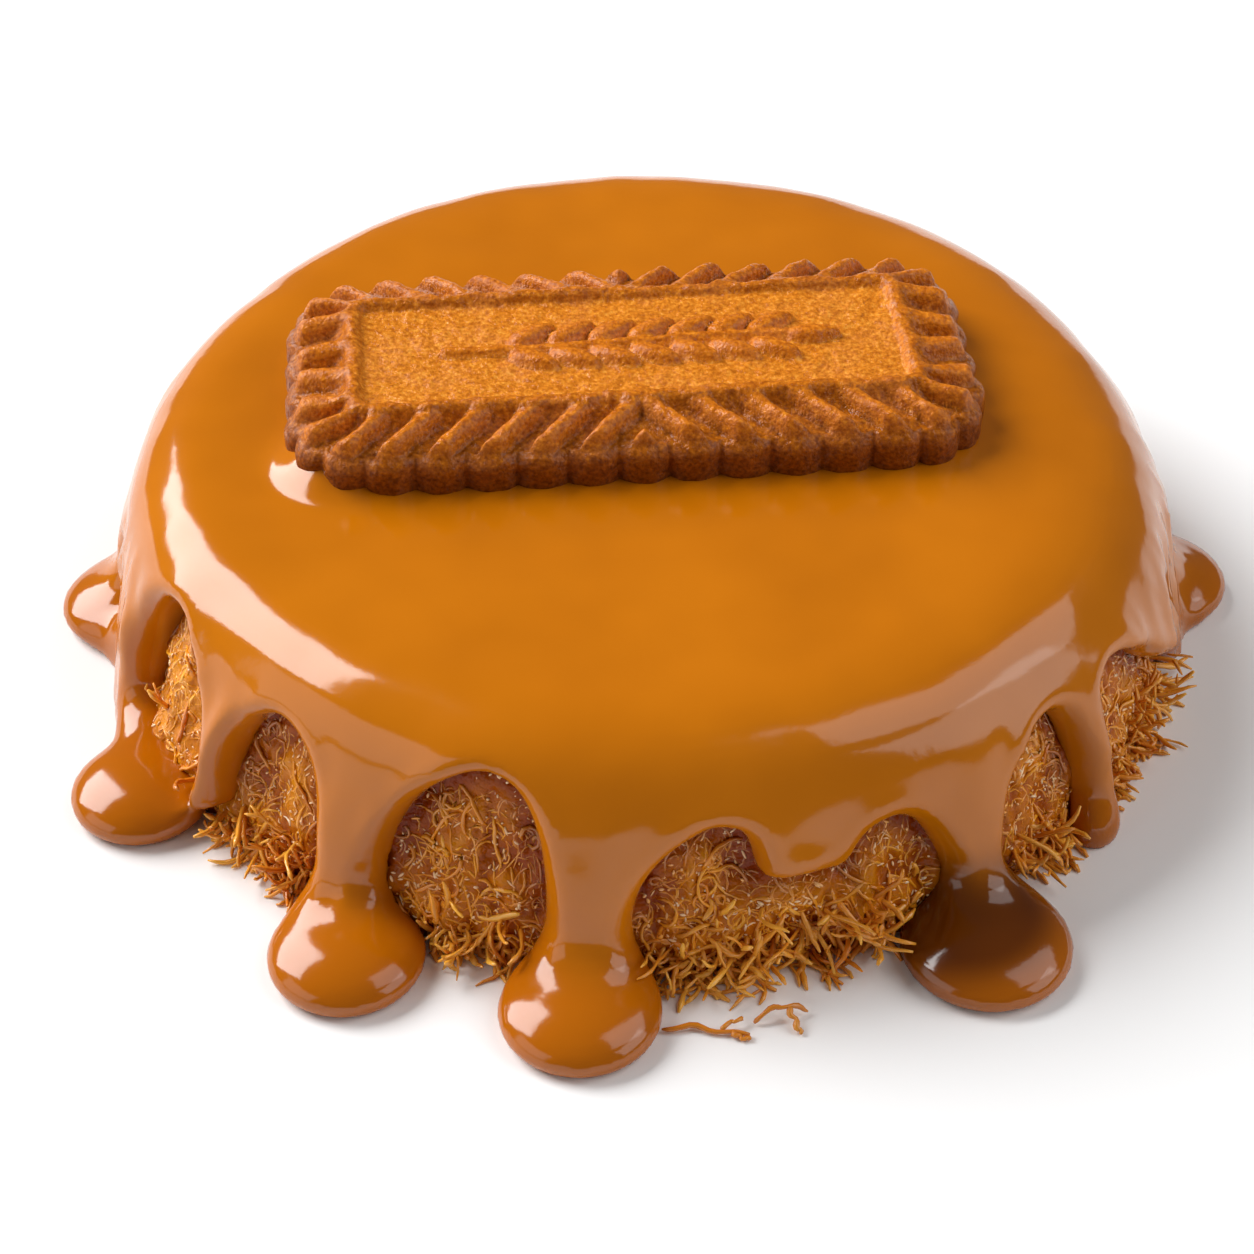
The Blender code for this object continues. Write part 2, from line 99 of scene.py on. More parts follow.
# Arched openings in the glaze wall: left and right foot in degrees, top, and lean of the top.
# The lip along their edge has a height, a distance from the edge and a width.
OPENINGS = (
    (-176.5, -173.0, 11.0, 0.0),
    (-159.2, -142.7, 18.3, -0.1),
    (-153.0, -126.0, 4.6, 0.0),
    (-139.1, -126.0, 16.7, 0.12),
    (-118.0, -101.0, 18.4, 0.25),
    (-92.0, -79.5, 15.4, 0.35),
    (-92.0, -59.5, 10.7, 0.0),
    (-71.0, -59.5, 13.2, -0.1),
    (-52.5, -40.2, 15.6, 0.2),
    (-35.8, -22.0, 15.6, -0.55),
    (-35.8, -9.0, 10.4, -0.3),
    (-37.4, -22.0, 4.5, 0.0),
    (-52.5, -9.0, 0.9, 0.0),
    (9.0, 24.0, 14.5, 0.1),
    (9.0, 47.0, 5.0, 0.0),
    (33.0, 47.0, 16.5, -0.2),
    (57.0, 76.0, 17.5, 0.2),
    (57.0, 98.0, 8.0, 0.0),
    (84.0, 98.0, 15.0, -0.1),
    (108.0, 124.0, 16.0, -0.2),
    (108.0, 147.0, 3.0, 0.0),
    (132.0, 147.0, 14.5, 0.2),
    (132.0, 174.0, 0.9, 0.0),
    (158.0, 174.0, 16.5, 0.0),
)
OPENING_FOOT = -4.0
ARCH_SHARE = 1.25
ARCH_EXTRA = 2.0
OPENING_BLEND = 1.5
EDGE_ROUNDING = 2.6
EDGE_DROP = 1.1
EDGE_LIP = (0.35, 1.6, 1.3)

# Drips: angle, half width, swell
DRIPS = (
    (-163.8, 4.2, 0.95),
    (-140.8, 2.6, 1.1),
    (-122.5, 3.6, 1.3),
    (-96.5, 3.7, 1.4),
    (-76.0, 4.4, 1.0),
    (-56.0, 3.3, 1.3),
    (-38.0, 2.3, 1.1),
    (-30.5, 2.4, 0.9),
    (-21.0, 2.8, 0.9),
    (1.0, 4.2, 0.5),
    (28.5, 3.3, 1.1),
    (52.0, 3.6, 1.3),
    (80.0, 3.2, 1.1),
    (103.0, 3.8, 1.3),
    (128.0, 3.3, 1.1),
    (152.0, 3.6, 1.2),
    (179.0, 3.8, 1.2),
)
DRIP_WIDTH_SHARE = 0.8
DRIP_WIDENING = 0.5
DRIPS_WIDEN = (6.0, 17.0)
DRIPS_FADE = (8.0, 18.5)

# Narrow folds in the wall: angle, half width, swell, lean in degrees for each mm of height
FOLDS = (
    (-172.0, 1.0, 0.45, 0.35),
    (-161.0, 1.3, 0.60, -0.30),
    (-144.5, 1.0, 0.50, -0.45),
    (-140.0, 1.1, 0.60, 0.20),
    (-48.0, 1.4, 0.30, -0.25),
    (-33.5, 1.2, 0.60, 0.30),
    (-27.0, 1.1, 0.60, -0.25),
    (-19.0, 1.2, 0.60, 0.15),
    (-12.5, 0.9, 0.40, -0.20),
    (-5.0, 1.2, 0.35, 0.25),
    (22.0, 1.2, 0.40, -0.20),
    (66.0, 1.3, 0.40, 0.30),
    (95.0, 1.1, 0.45, -0.25),
    (121.0, 1.3, 0.40, 0.20),
    (163.0, 1.1, 0.45, -0.30),
)
FOLD_MIDDLE = 10
FOLDS_FADE = (11.0, 18.0)

# Pools on the table: angle, distance, radius, height
POOLS = (
    (-179.0, 48.8, 6.3, 3.8),
    (-157.3, 48.2, 2.6, 3.2),
    (-149.0, 51.6, 6.1, 3.8),
    (-118.7, 52.0, 6.5, 3.9),
    (-96.5, 52.1, 6.6, 3.9),
    (-58.6, 52.1, 7.1, 3.9),
    (-39.7, 48.9, 0.9, 2.5),
    (3.0, 48.3, 6.3, 3.8),
    (52.0, 52.5, 6.5, 3.8),
    (104.0, 52.8, 6.7, 3.8),
)
POOL_WAIST = 1.2
POOL_BLEND = 3.4

# Darker glaze near the table; and a painted shadow round the middle of the right front pool, which lies
# in the cake's shadow
LOW_FADES = (2.0, 7.0)
SHADED_POOL = (25.5, -43.0)
SHADED_POOL_STRENGTH = 0.9
SHADED_POOL_REACH = (5.0, 9.5)
SHADED_POOL_FADES = (3.0, 9.0)

# The biscuit; each ring has an inset, a height, and shares of the scallops and the ribs.
# The raised frame's tone has a strength, an inset and a width.
BISCUIT_LENGTH = 62.0
BISCUIT_WIDTH = 28.3
BISCUIT_CORNER = 7.5
BISCUIT_PLACE = (-1.8, 4.6)
BISCUIT_TURN = 5.2
BISCUIT_SUNK = 0.8
SCALLOPS_PER_QUARTER = 9.5
SCALLOP_DEPTH = 1.0
RIB_HEIGHT = 1.45
RIB_SLANT = 0.9
RIB_HALF_WIDTH = 0.27
END_BORDER_EXTRA = 0.05
BISCUIT_RINGS = (
    (0.9, 0.0, 0.6, 0.0),
    (0.25, 0.5, 0.9, 0.0),
    (0.0, 1.6, 1.0, 0.0),
    (0.0, 3.3, 1.0, 0.0),
    (0.3, 4.0, 0.95, 0.0),
    (0.8, 4.35, 0.8, 0.1),
    (1.35, 4.6, 0.55, 0.95),
    (2.1, 4.85, 0.3, 1.0),
    (3.2, 5.0, 0.1, 1.0),
    (4.2, 5.2, 0.0, 0.95),
    (4.9, 5.8, 0.0, 0.55),
    (5.4, 6.5, 0.0, 0.15),
    (5.9, 6.7, 0.0, 0.0),
    (6.4, 6.55, 0.0, 0.0),
    (6.8, 6.05, 0.0, 0.0),
    (7.1, 5.95, 0.0, 0.0),
)
RINGS_BETWEEN = 4
PANEL_RINGS = 30
PANEL_STARTS = (6.0, 7.2)
PANEL_SPINE = 17.0
FRAME_TONE = (0.7, 5.8, 0.6)
WELL_INSIDE = 9.0
EDGE_STEPS_PER_SCALLOP = 20

# The biscuit's grain: height, size and seed; the coarse one is on the border only
FINE_GRAIN = ((0.10, 0.55, 31), (0.10, 1.3, 32))
COARSE_GRAIN = (0.20, 4.0, 33)
SIDE_GRAIN = (0.12, 0.8, 34)
# Heights at which the sides' darker colours, which are painted shade, give way to the top's
UPPER_STARTS = (2.5, 5.2)

# The glaze creeps up the biscuit's side, and most at its left front corner
CREEP_HEIGHT = 0.2
CREEP_REACH = 0.7
CREEP_CORNER = (-29.0, -11.0)
CREEP_CORNER_SPREAD = 30
CREEP_CORNER_HEIGHT = 1.35
CREEP_CORNER_SLOPE = 0.55
CREEP_CORNER_BLEND = 0.6

# The wheat ear raised on the biscuit
EAR_LENGTH = 29.0
EAR_PAIRS = 7
EAR_BARE_STEM = 4.5
EAR_BARE_IN_ALL = 7.5
GRAIN_SIZE = (2.5, 1.05, 1.0)
GRAIN_SPREAD = 1.95
GRAIN_LEAN = 30
STEM_RADIUS = 0.6
STEM_HEIGHT = 0.7

# The syrup film; each layer has a height, a size and a seed, and the bulge a height, angle and width
FILM_STEPS = 1050
FILM_ROWS = 52
FILM_RIM_ROWS = 12
FILM_TOP_RINGS = (0.75, 0.4, 0.05)
FILM_BASE_RINGS = (0.05, 0.5, 0.9)
FILM_LUMPS = ((0.5, 3.4, 21), (0.3, 1.6, 22))
FILM_STRANDS = (0.24, 1.2, 23)
FILM_NET = (0.14, 0.9, 24)
FILM_SINK = 0.3
FOOT_UNDERCUT = 1.2
FOOT_UNDERCUT_FADES = (0.0, 3.6)
LEFT_BULGE = (1.6, -150, 7)
# Painted shade on the film: darker at its foot, and darker with redder syrup under the glaze's edge,
# growing with height
FOOT_SHADE = 0.85
FOOT_SHADE_FADES = (0.0, 2.5)
MIDDLE_RELIEF = 0.6
SHADE_BEHIND_EDGE = (-4.0, 0.5)
SHADE_GROWS = (1.0, 9.0)

# Shreds that lie on the film: count, steps, sides, lengths, radii and lift
NET_SHREDS = (2400, 7, 4, (1.4, 4.0), (0.09, 0.15), 0.03)
WALL_SHREDS = (420, 9, 5, (2.0, 5.0), (0.13, 0.21), 0.3)
LYING_HEIGHTS = (0.5, 18.0)
LYING_HIGHEST = 18.4
NEIGHBOURHOOD = 7.0
NEIGHBOURHOOD_SEED = 42

# Beads of syrup; their pale colour is painted glints
SYRUP_BEADS = 2200
BEAD_HEIGHTS = (1.5, 17.5)
BEAD_LENGTHS = (0.12, 0.3)
BEAD_RADII = (0.05, 0.14)
BEAD_PROFILE = (0.35, 0.85, 1.0, 0.85, 0.35)
BEAD_SIDES = 5

# Loose shreds round the foot, with more or fewer at places with an amount, an angle and a width
FULL_TUFTS = ((0.35, -14, 9), (0.35, -76, 12))
THIN_TUFT = (0.4, -30, 7)
FRINGE_SHREDS = 2300
FRINGE_STEPS = 8
FRINGE_SIDES = 4
FRINGE_LENGTHS = (2.0, 5.6)
FRINGE_RADII = (0.14, 0.27)
FRINGE_TOP = 10
FRINGE_CURL = 0.22
FORK_CURL = 0.2
FORK_LENGTH_SHARE = 0.45
GLAZE_CLEARANCE = 0.25
FORK_RADII = (0.11, 0.21)
ABOVE_TABLE = 0.02

# Tone of the shreds: size of a neighbourhood of like shreds, and seed
TONE_SIZE = 5.0
TONE_SEED = 41

# How shreds curl: share of the bend kept at each step, chance of a kink and its size
BEND_KEPT = 0.8
KINK_CHANCE = 0.12
KINK_SIZE = 0.5

# Two forked twigs on the table in front, as branches through four places
TWIGS = (
    ((0.5, -53.1, 0.4), (2.9, -52.7, 0.5), (5.4, -53.3, 0.4), (7.7, -53.4, 0.4)),
    ((5.2, -53.2, 0.4), (5.9, -52.6, 0.7), (6.6, -52.5, 0.9), (7.0, -52.2, 0.7)),
    ((6.2, -53.3, 0.4), (6.6, -53.7, 0.4), (7.1, -53.9, 0.3), (7.6, -53.9, 0.3)),
    ((7.9, -52.3, 0.3), (9.2, -51.6, 1.3), (10.9, -51.3, 1.3), (12.4, -51.0, 0.4)),
    ((10.6, -51.3, 1.3), (11.0, -52.0, 0.9), (11.4, -52.8, 0.5), (11.6, -53.4, 0.3)),
)
TWIG_STEPS = 14
TWIG_SIDES = 6
TWIG_RADII = (0.19, 0.27)

# Colours of the glaze; the last is a painted shadow on the right front pool
CARAMEL_DEEP = (0.48, 0.135, 0.001)
CARAMEL_CLEAR = (0.55, 0.160, 0.002)
CARAMEL_LOW = (0.42, 0.108, 0.001)
CARAMEL_PAINTED_SHADOW = (0.07, 0.013, 0.0005)

# Colours of the syrup film, in its hollows, on its flanks and on its ridges, and its painted shade with
# darker, redder syrup under the glaze's edge and at its foot; and of the beads, the pale ones of which
# are painted glints
SYRUP_HOLLOW = (0.20, 0.024, 0.001)
SYRUP_FLANK = (0.52, 0.155, 0.004)
SYRUP_RIDGE = (0.72, 0.285, 0.008)
SYRUP_RUDDY = (0.50, 0.115, 0.003)
SYRUP_SHADED = (0.22, 0.026, 0.001)
BEAD_AMBER = (0.90, 0.400, 0.060)
BEAD_PAINTED_GLINT = (1.0, 0.760, 0.460)

# The two kinds of shred: dark, light, and a colour of darker, redder syrup with painted shade under the
# glaze's edge, roughness and coat
GOLDEN_SHRED = ((0.70, 0.19, 0.006), (1.0, 0.52, 0.060), (0.24, 0.045, 0.003), 0.3, 0.2)
AMBER_SHRED = ((0.68, 0.18, 0.004), (1.0, 0.46, 0.020), (0.34, 0.090, 0.015), 0.1, 0.4)

# Colours of the biscuit, each as places along the speckle and their colours
PANEL_COLOURS = (
    (0.32, (0.44, 0.115, 0.006)),
    (0.55, (0.68, 0.215, 0.015)),
    (0.72, (0.86, 0.350, 0.045)),
)
RAISED_COLOURS = (
    (0.32, (0.40, 0.090, 0.004)),
    (0.60, (0.66, 0.190, 0.010)),
    (0.80, (0.86, 0.310, 0.025)),
)
BORDER_COLOURS = (
    (0.32, (0.26, 0.058, 0.002)),
    (0.60, (0.50, 0.140, 0.007)),
    (0.80, (0.78, 0.290, 0.022)),
)
# Painted shade: the sides are coloured darker than the top
SHADED_SIDE_COLOURS = (
    (0.32, (0.13, 0.024, 0.001)),
    (0.75, (0.36, 0.085, 0.004)),
)

# The floor
FLOOR_REACH = 3e3
FLOOR_WHITE = 0.94

# Lights: name, direction, direction of the long side, size in metres, brightness
LIGHTS = (
    ("key", (-0.68, 0.38, 0.62), (-0.39, 0.64, -0.68), (1.45, 1.4), 9.8),
    ("fill", (0.64, 0.03, 0.76), (0.40, 0.46, -0.29), (1.6, 1.1), 2.0),
    ("card", (-0.85, -0.40, 0.35), (-0.4, 0.85, 0), (1.6, 1.2), 1.3),
    ("side", (0.85, -0.25, 0.42), (0.25, 0.85, 0), (1.4, 1.1), 2.1),
)
LIGHT_DISTANCE = 2
WORLD_BRIGHTNESS = 0.08

# The camera: place in metres, tilt from straight down, sensor and lens
CAMERA_PLACE = (-0.00217, -0.1964, 0.1629)
CAMERA_TILT = 49.9
SENSOR_WIDTH = 36
LENS = 77.51


def smooth_max(a, b, blend):
    overlap = np.maximum(blend - np.abs(a - b), 0.0) / blend
    return np.maximum(a, b) + overlap * overlap * blend / 4


def smooth_min(a, b, blend):
    return -smooth_max(-a, -b, blend)


def smooth_step(low, high, value):
    share = np.clip((value - low) / (high - low), 0.0, 1.0)
    return share * share * (3 - 2 * share)


def bell(value, height, middle, width):
    """A bell curve of a height and a width round a middle value."""
    return height * np.exp(-((value - middle) / width) ** 2)


def noise(x, y, z, size, seed):
    """Smooth noise between -1 and 1 whose bumps are about one size apart."""
    table = np.random.default_rng(seed).uniform(-1, 1, NOISE_TABLE_SIZE)
    cells = [np.floor(axis / size).astype(np.int64) for axis in (x, y, z)]
    shares = [smooth_step(0, 1, axis / size - cell) for axis, cell in zip((x, y, z), cells)]
    total = 0.0
    for corner in range(8):
        steps = (corner & 1, corner >> 1 & 1, corner >> 2 & 1)
        mixed = (cells[0] + steps[0]) * NOISE_HASH[0] ^ (cells[1] + steps[1]) * NOISE_HASH[1]
        mixed = mixed ^ (cells[2] + steps[2]) * NOISE_HASH[2]
        weight = 1.0
        for share, step in zip(shares, steps):
            weight = weight * (share if step else 1 - share)
        total = total + weight * table[mixed & (NOISE_TABLE_SIZE - 1)]
    return total


def ridges(x, y, z, size, seed, level=1.0):
    """Noise folded into sharp ridges as high as the level."""
    return level - 2 * np.abs(noise(x, y, z, size, seed))


def wave(turn):
    """How far the glaze swells outwards at an angle in radians."""
    return sum(size * np.cos(count * (turn - math.radians(crest))) for count, size, crest in RIM_WAVES)


def sideways(turn, angle):
    """The distance along the wall from an angle in degrees."""
    away = turn - math.radians(angle)
    return GLAZE_BASE_RADIUS * (np.mod(away + math.pi, 2 * math.pi) - math.pi)


def opening_distance(turn, height, opening):
    """The distance to one arched opening, along the wall; it is below zero inside it."""
    left, right, top, lean = opening
    half_width = GLAZE_BASE_RADIUS * math.tan(math.radians(right - left) / 2)
    rise = min(top - OPENING_FOOT, ARCH_SHARE * half_width + ARCH_EXTRA)
    climb = np.clip((height - top + rise) / rise, 0.0, 1.0)
    across = (sideways(turn, (left + right) / 2) - lean * half_width * climb ** 2) / half_width
    up = np.maximum(height - top + rise, 0.0) / rise
    reach = np.hypot(across, up) + TINY
    return reach * (reach - 1) / (np.hypot(across / half_width, up / rise) + TINY)


def edge_distance(turn, height):
    """How far inside the glaze's lower edge a place on the wall lies."""
    raised = height + EDGE_DROP
    distance = opening_distance(turn, raised, OPENINGS[0])
    for opening in OPENINGS[1:]:
        distance = smooth_min(distance, opening_distance(turn, raised, opening), OPENING_BLEND)
    return distance


def core_radius(height):
    """The bare core's radius at a height, on the straight part of its wall."""
    shoulder = CORE_HEIGHT - CORE_RIM_DROP
    return CORE_BASE_RADIUS + (CORE_RIM_RADIUS - CORE_BASE_RADIUS) * height / shoulder


def core_distance(away, height):
    """The distance to the bare core; it is below zero inside it."""
    wall = CORE_WALL_SCALE * (away - core_radius(height))
    return smooth_max(wall, height - CORE_HEIGHT, CORE_RIM_ROLL)


def pool_distance(x, y, z, pool):
    """The distance to a pool, which is a flat ellipsoid with its waist just above the table."""
    angle, distance, radius, height = pool
    turn = math.radians(angle)
    half_height = height - POOL_WAIST
    across = np.hypot(x - distance * math.cos(turn), y - distance * math.sin(turn))
    up = z - POOL_WAIST
    reach = np.hypot(across / radius, up / half_height) + TINY
    return reach * (reach - 1) / (np.hypot(across / radius ** 2, up / half_height ** 2) + TINY)


def to_biscuit(x, y):
    """Places on the cake in the biscuit's own directions."""
    turn = math.radians(BISCUIT_TURN)
    right = x - BISCUIT_PLACE[0]
    back = y - BISCUIT_PLACE[1]
    return right * math.cos(turn) + back * math.sin(turn), back * math.cos(turn) - right * math.sin(turn)


def from_biscuit(along, across):
    """Places on the cake from places in the biscuit's own directions."""
    turn = math.radians(BISCUIT_TURN)
    x = along * math.cos(turn) - across * math.sin(turn)
    y = along * math.sin(turn) + across * math.cos(turn)
    return x + BISCUIT_PLACE[0], y + BISCUIT_PLACE[1]


def biscuit_distance(x, y):
    """The distance to the biscuit's outline in plan."""
    along, across = to_biscuit(x, y)
    right = np.abs(along) - BISCUIT_LENGTH / 2 + BISCUIT_CORNER
    back = np.abs(across) - BISCUIT_WIDTH / 2 + BISCUIT_CORNER
    outside = np.hypot(np.maximum(right, 0), np.maximum(back, 0))
    return outside + np.minimum(np.maximum(right, back), 0) - BISCUIT_CORNER


def biscuit_meniscus(x, y):
    """The glaze creeps up the biscuit's side, and most at its left front corner."""
    away = np.maximum(biscuit_distance(x, y), -1.0)
    along, across = to_biscuit(x, y)
    from_corner = (along - CREEP_CORNER[0]) ** 2 + (across - CREEP_CORNER[1]) ** 2
    corner = np.exp(-from_corner / CREEP_CORNER_SPREAD)
    creep = CREEP_HEIGHT * np.exp(-np.maximum(away, 0) / CREEP_REACH)
    corner_rise = CREEP_CORNER_HEIGHT - CREEP_CORNER_SLOPE * away
    return creep + corner * smooth_max(corner_rise, 0.0, CREEP_CORNER_BLEND)


def wall_folds(turn, height):
    """The outward swell of the narrow folds, which fade out near the rim."""
    swell = 0.0
    for angle, half_width, size, lean in FOLDS:
        across = sideways(turn, angle) - lean * (height - FOLD_MIDDLE)
        swell = swell + size * np.exp(-(across / half_width) ** 2)
    return swell * (1 - smooth_step(*FOLDS_FADE, height))


def wall_streaks(x, y, z):
    """Fine streaks that run down the wall like a curtain, strongest at the left and the right."""
    angle = np.degrees(np.arctan2(y, x))
    strength = STREAKS_ELSEWHERE
    for place in STREAKS_STRONG:
        strength = strength + bell(angle, *place)
    streaks = ridges(x, y, z * 0.1, STREAK_SIZE, STREAK_SEED, STREAK_LEVEL)
    return STREAK_DEPTH * strength * streaks * (1 - smooth_step(*STREAKS_FADE, z))


def bumps(x, y, z, layer):
    """Noise from a layer's height, size and seed."""
    height, size, seed = layer
    return height * noise(x, y, z, size, seed)


def with_drips(wall, turn, z):
    """The wall with its drips, which widen upwards and fade out near the rim."""
    fade = 1 - smooth_step(*DRIPS_FADE, z)
    widening = 1 + DRIP_WIDENING * smooth_step(*DRIPS_WIDEN, z)
    for angle, half_width, swell in DRIPS:
        across = sideways(turn, angle) / (DRIP_WIDTH_SHARE * half_width * widening)
        wall = wall + swell * np.exp(-across ** 2) * fade
    return wall


def glaze_outside(x, y, z):
    """The glaze's outer surface as a field: below zero inside it."""
    away = np.hypot(x, y)
    turn = np.arctan2(y, x)
    down = 1 - z / (GLAZE_HEIGHT - GLAZE_RIM_DROP)
    wall = GLAZE_RIM_RADIUS + (GLAZE_BASE_RADIUS - GLAZE_RIM_RADIUS) * down
    wall = wall + wave(turn) * (WAVE_AT_FOOT + WAVE_GAIN * smooth_step(*WAVE_GROWS, z))
    edge = edge_distance(turn, z)
    wall = wall + bell(edge, *EDGE_LIP)
    wall = with_drips(wall, turn, z) + wall_folds(turn, z)
    wall = wall + wall_streaks(x, y, z) + bumps(x, y, z * 0.5, WALL_BUMPS)
    top = GLAZE_HEIGHT + biscuit_meniscus(x, y) + bumps(x, y, 0 * z, TOP_BUMPS)
    roll = GLAZE_RIM_ROLL - ROLL_CHANGE * np.cos(turn - math.radians(ROLL_TIGHTEST))
    shell = smooth_max(GLAZE_WALL_SCALE * (away - wall), z - top, roll) + bumps(x, y, z, SKIN_BUMPS)
    skin = smooth_max(shell, -edge, EDGE_ROUNDING)
    for pool in POOLS:
        skin = smooth_min(skin, pool_distance(x, y, z, pool), POOL_BLEND)
    return skin


def glaze_body(x, y, z):
    """The whole glaze: outer skin, above the table, and sunk a little into the pastry inside."""
    skin = glaze_outside(x, y, z)
    inner = core_distance(np.hypot(x, y), z) + GLAZE_SINK
    return np.maximum(np.maximum(skin, -inner), -z)


def mesh_object(name, points, *groups):
    """A smooth mesh from points in millimetres and groups of faces; a group has one corner count."""
    groups = [np.ascontiguousarray(group, np.int32) for group in groups if len(group)]
    counts = np.concatenate([np.full(len(group), group.shape[1]) for group in groups])
    starts = np.concatenate([[0], np.cumsum(counts)[:-1]]).astype(np.int32)
    mesh = bpy.data.meshes.new(name)
    mesh.vertices.add(len(points))
    mesh.vertices.foreach_set("co", np.ascontiguousarray(points * MM, np.float32).ravel())
    mesh.loops.add(int(counts.sum()))
    mesh.loops.foreach_set("vertex_index", np.concatenate([group.ravel() for group in groups]))
    mesh.polygons.add(len(counts))
    mesh.polygons.foreach_set("loop_start", starts)
    mesh.update(calc_edges=True)
    mesh.validate()
    mesh.shade_smooth()
    piece = bpy.data.objects.new(name, mesh)
    bpy.context.scene.collection.objects.link(piece)
    return piece


def add_tone(piece, name, values):
    """A value for every point of a piece, for its material to use."""
    tone = piece.data.attributes.new(name, "FLOAT", "POINT")
    tone.data.foreach_set("value", np.ascontiguousarray(values, np.float32).ravel())


def skin_of_field(name, low, high, voxel, field):
    """The surface where a field of x, y and z is zero, as a smooth mesh in a box."""
    axes = [np.arange(start, end + voxel, voxel, dtype=np.float32) for start, end in zip(low, high)]
    x, y, z = np.meshgrid(*axes, indexing="ij", sparse=True)
    grid = openvdb.FloatGrid(background=4.0)
    grid.copyFromArray(field(x, y, z).astype(np.float32))
    points, quads = grid.convertToQuads(isovalue=0.0)
    points = points * voxel + np.array(low, np.float32)
    return mesh_object(name, points, quads[:, ::-1])


def make_glaze():
    glaze = skin_of_field("caramel", *GLAZE_BOX, GLAZE_VOXEL, glaze_body)
    points = np.empty(len(glaze.data.vertices) * 3, np.float32)
    glaze.data.vertices.foreach_get("co", points)
    x, y, z = points[::3] / MM, points[1::3] / MM, points[2::3] / MM
    add_tone(glaze, "low", 1 - smooth_step(*LOW_FADES, z))
    # Painted shadow: the glaze darkens round the middle of the right front pool, which the cake shades
    from_shaded_pool = np.hypot(x - SHADED_POOL[0], y - SHADED_POOL[1])
    dark = SHADED_POOL_STRENGTH * (1 - smooth_step(*SHADED_POOL_REACH, from_shaded_pool))
    add_tone(glaze, "dark", dark * (1 - smooth_step(*SHADED_POOL_FADES, z)))
    return glaze


def loft_faces(rings, steps):
    """The faces between closed rings of points, and the two flat ends."""
    here = np.arange(steps)
    after = (here + 1) % steps
    first = np.arange(rings - 1)[:, None] * steps
    quads = np.stack([first + here, first + after, first + steps + after, first + steps + here], -1)
    last = (rings - 1) * steps + here
    return quads.reshape(-1, 4), here[None, ::-1], last[None, :]


def around(away, turn, height):
    """Points from their distance to the axis, angle in radians and height."""
    return np.stack([away * np.cos(turn), away * np.sin(turn), height], -1)


def folded(x, y, z, layer):
    """Ridges from a layer's height, size and seed."""
    height, size, seed = layer
    return height * ridges(x, y, z, size, seed)


def film_relief(turn, height):
    """How far the syrup film stands out from the bare core."""
    x = CORE_BASE_RADIUS * np.cos(turn)
    y = CORE_BASE_RADIUS * np.sin(turn)
    lumps = sum(bumps(x, y, height, layer) for layer in FILM_LUMPS)
    strands = folded(x, y, height * 0.4, FILM_STRANDS)
    net = folded(x, y, height, FILM_NET)
    undercut = FOOT_UNDERCUT * (1 - smooth_step(*FOOT_UNDERCUT_FADES, height))
    angle = np.degrees(np.mod(turn, 2 * math.pi)) - 360
    return lumps + strands + net + bell(angle, *LEFT_BULGE) - FILM_SINK - undercut


def shade_under_glaze(points):
    """Painted shade with darker, redder syrup: 1 under the glaze's edge, and 0 in the middle of an
    opening and at its foot.
    """
    turn = np.arctan2(points[..., 1], points[..., 0])
    edge = edge_distance(turn, points[..., 2])
    return smooth_step(*SHADE_BEHIND_EDGE, edge) * smooth_step(*SHADE_GROWS, points[..., 2])


def flat_rings(ring, shares, height):
    """Copies of a ring drawn in towards the axis, at one height."""
    rings = np.array(shares)[:, None, None] * ring[None] * (1, 1, 0)
    return rings + np.array((0, 0, height))


def make_film():
    """The pastry's body under its syrup, with uneven walls."""
    shoulder = CORE_HEIGHT - CORE_RIM_DROP
    turn = np.linspace(0, 2 * math.pi, FILM_STEPS, endpoint=False)[None, :]
    wall = np.linspace(0, shoulder, FILM_ROWS)[:, None]
    bend = np.linspace(0, math.pi / 2, FILM_RIM_ROWS)[1:, None]
    height = np.concatenate([wall, shoulder + CORE_RIM_DROP * np.sin(bend)])
    inset = np.concatenate([np.zeros_like(wall), CORE_RIM_REACH * (1 - np.cos(bend))])
    away = core_radius(np.minimum(height, shoulder)) - inset + film_relief(turn, height)
    walls = around(away, turn, height + 0 * turn)
    base = flat_rings(walls[0], FILM_BASE_RINGS, 0)
    top = flat_rings(walls[-1], FILM_TOP_RINGS, CORE_HEIGHT)
    rings = np.concatenate([base, walls, top])
    film = mesh_object("syrup_film", rings.reshape(-1, 3), *loft_faces(len(rings), FILM_STEPS))
    # Painted shade: darker at the foot, and darker with redder syrup under the glaze's edge
    foot = 1 - smooth_step(*FOOT_SHADE_FADES, rings[..., 2])
    add_tone(film, "depth", np.maximum(shade_under_glaze(rings), FOOT_SHADE * foot))
    relief = np.full(rings.shape[:2], 0.5)
    relief[len(base):len(base) + len(height)] = MIDDLE_RELIEF + film_relief(turn, height)
    add_tone(film, "relief", np.clip(relief, 0, 1))
    return film


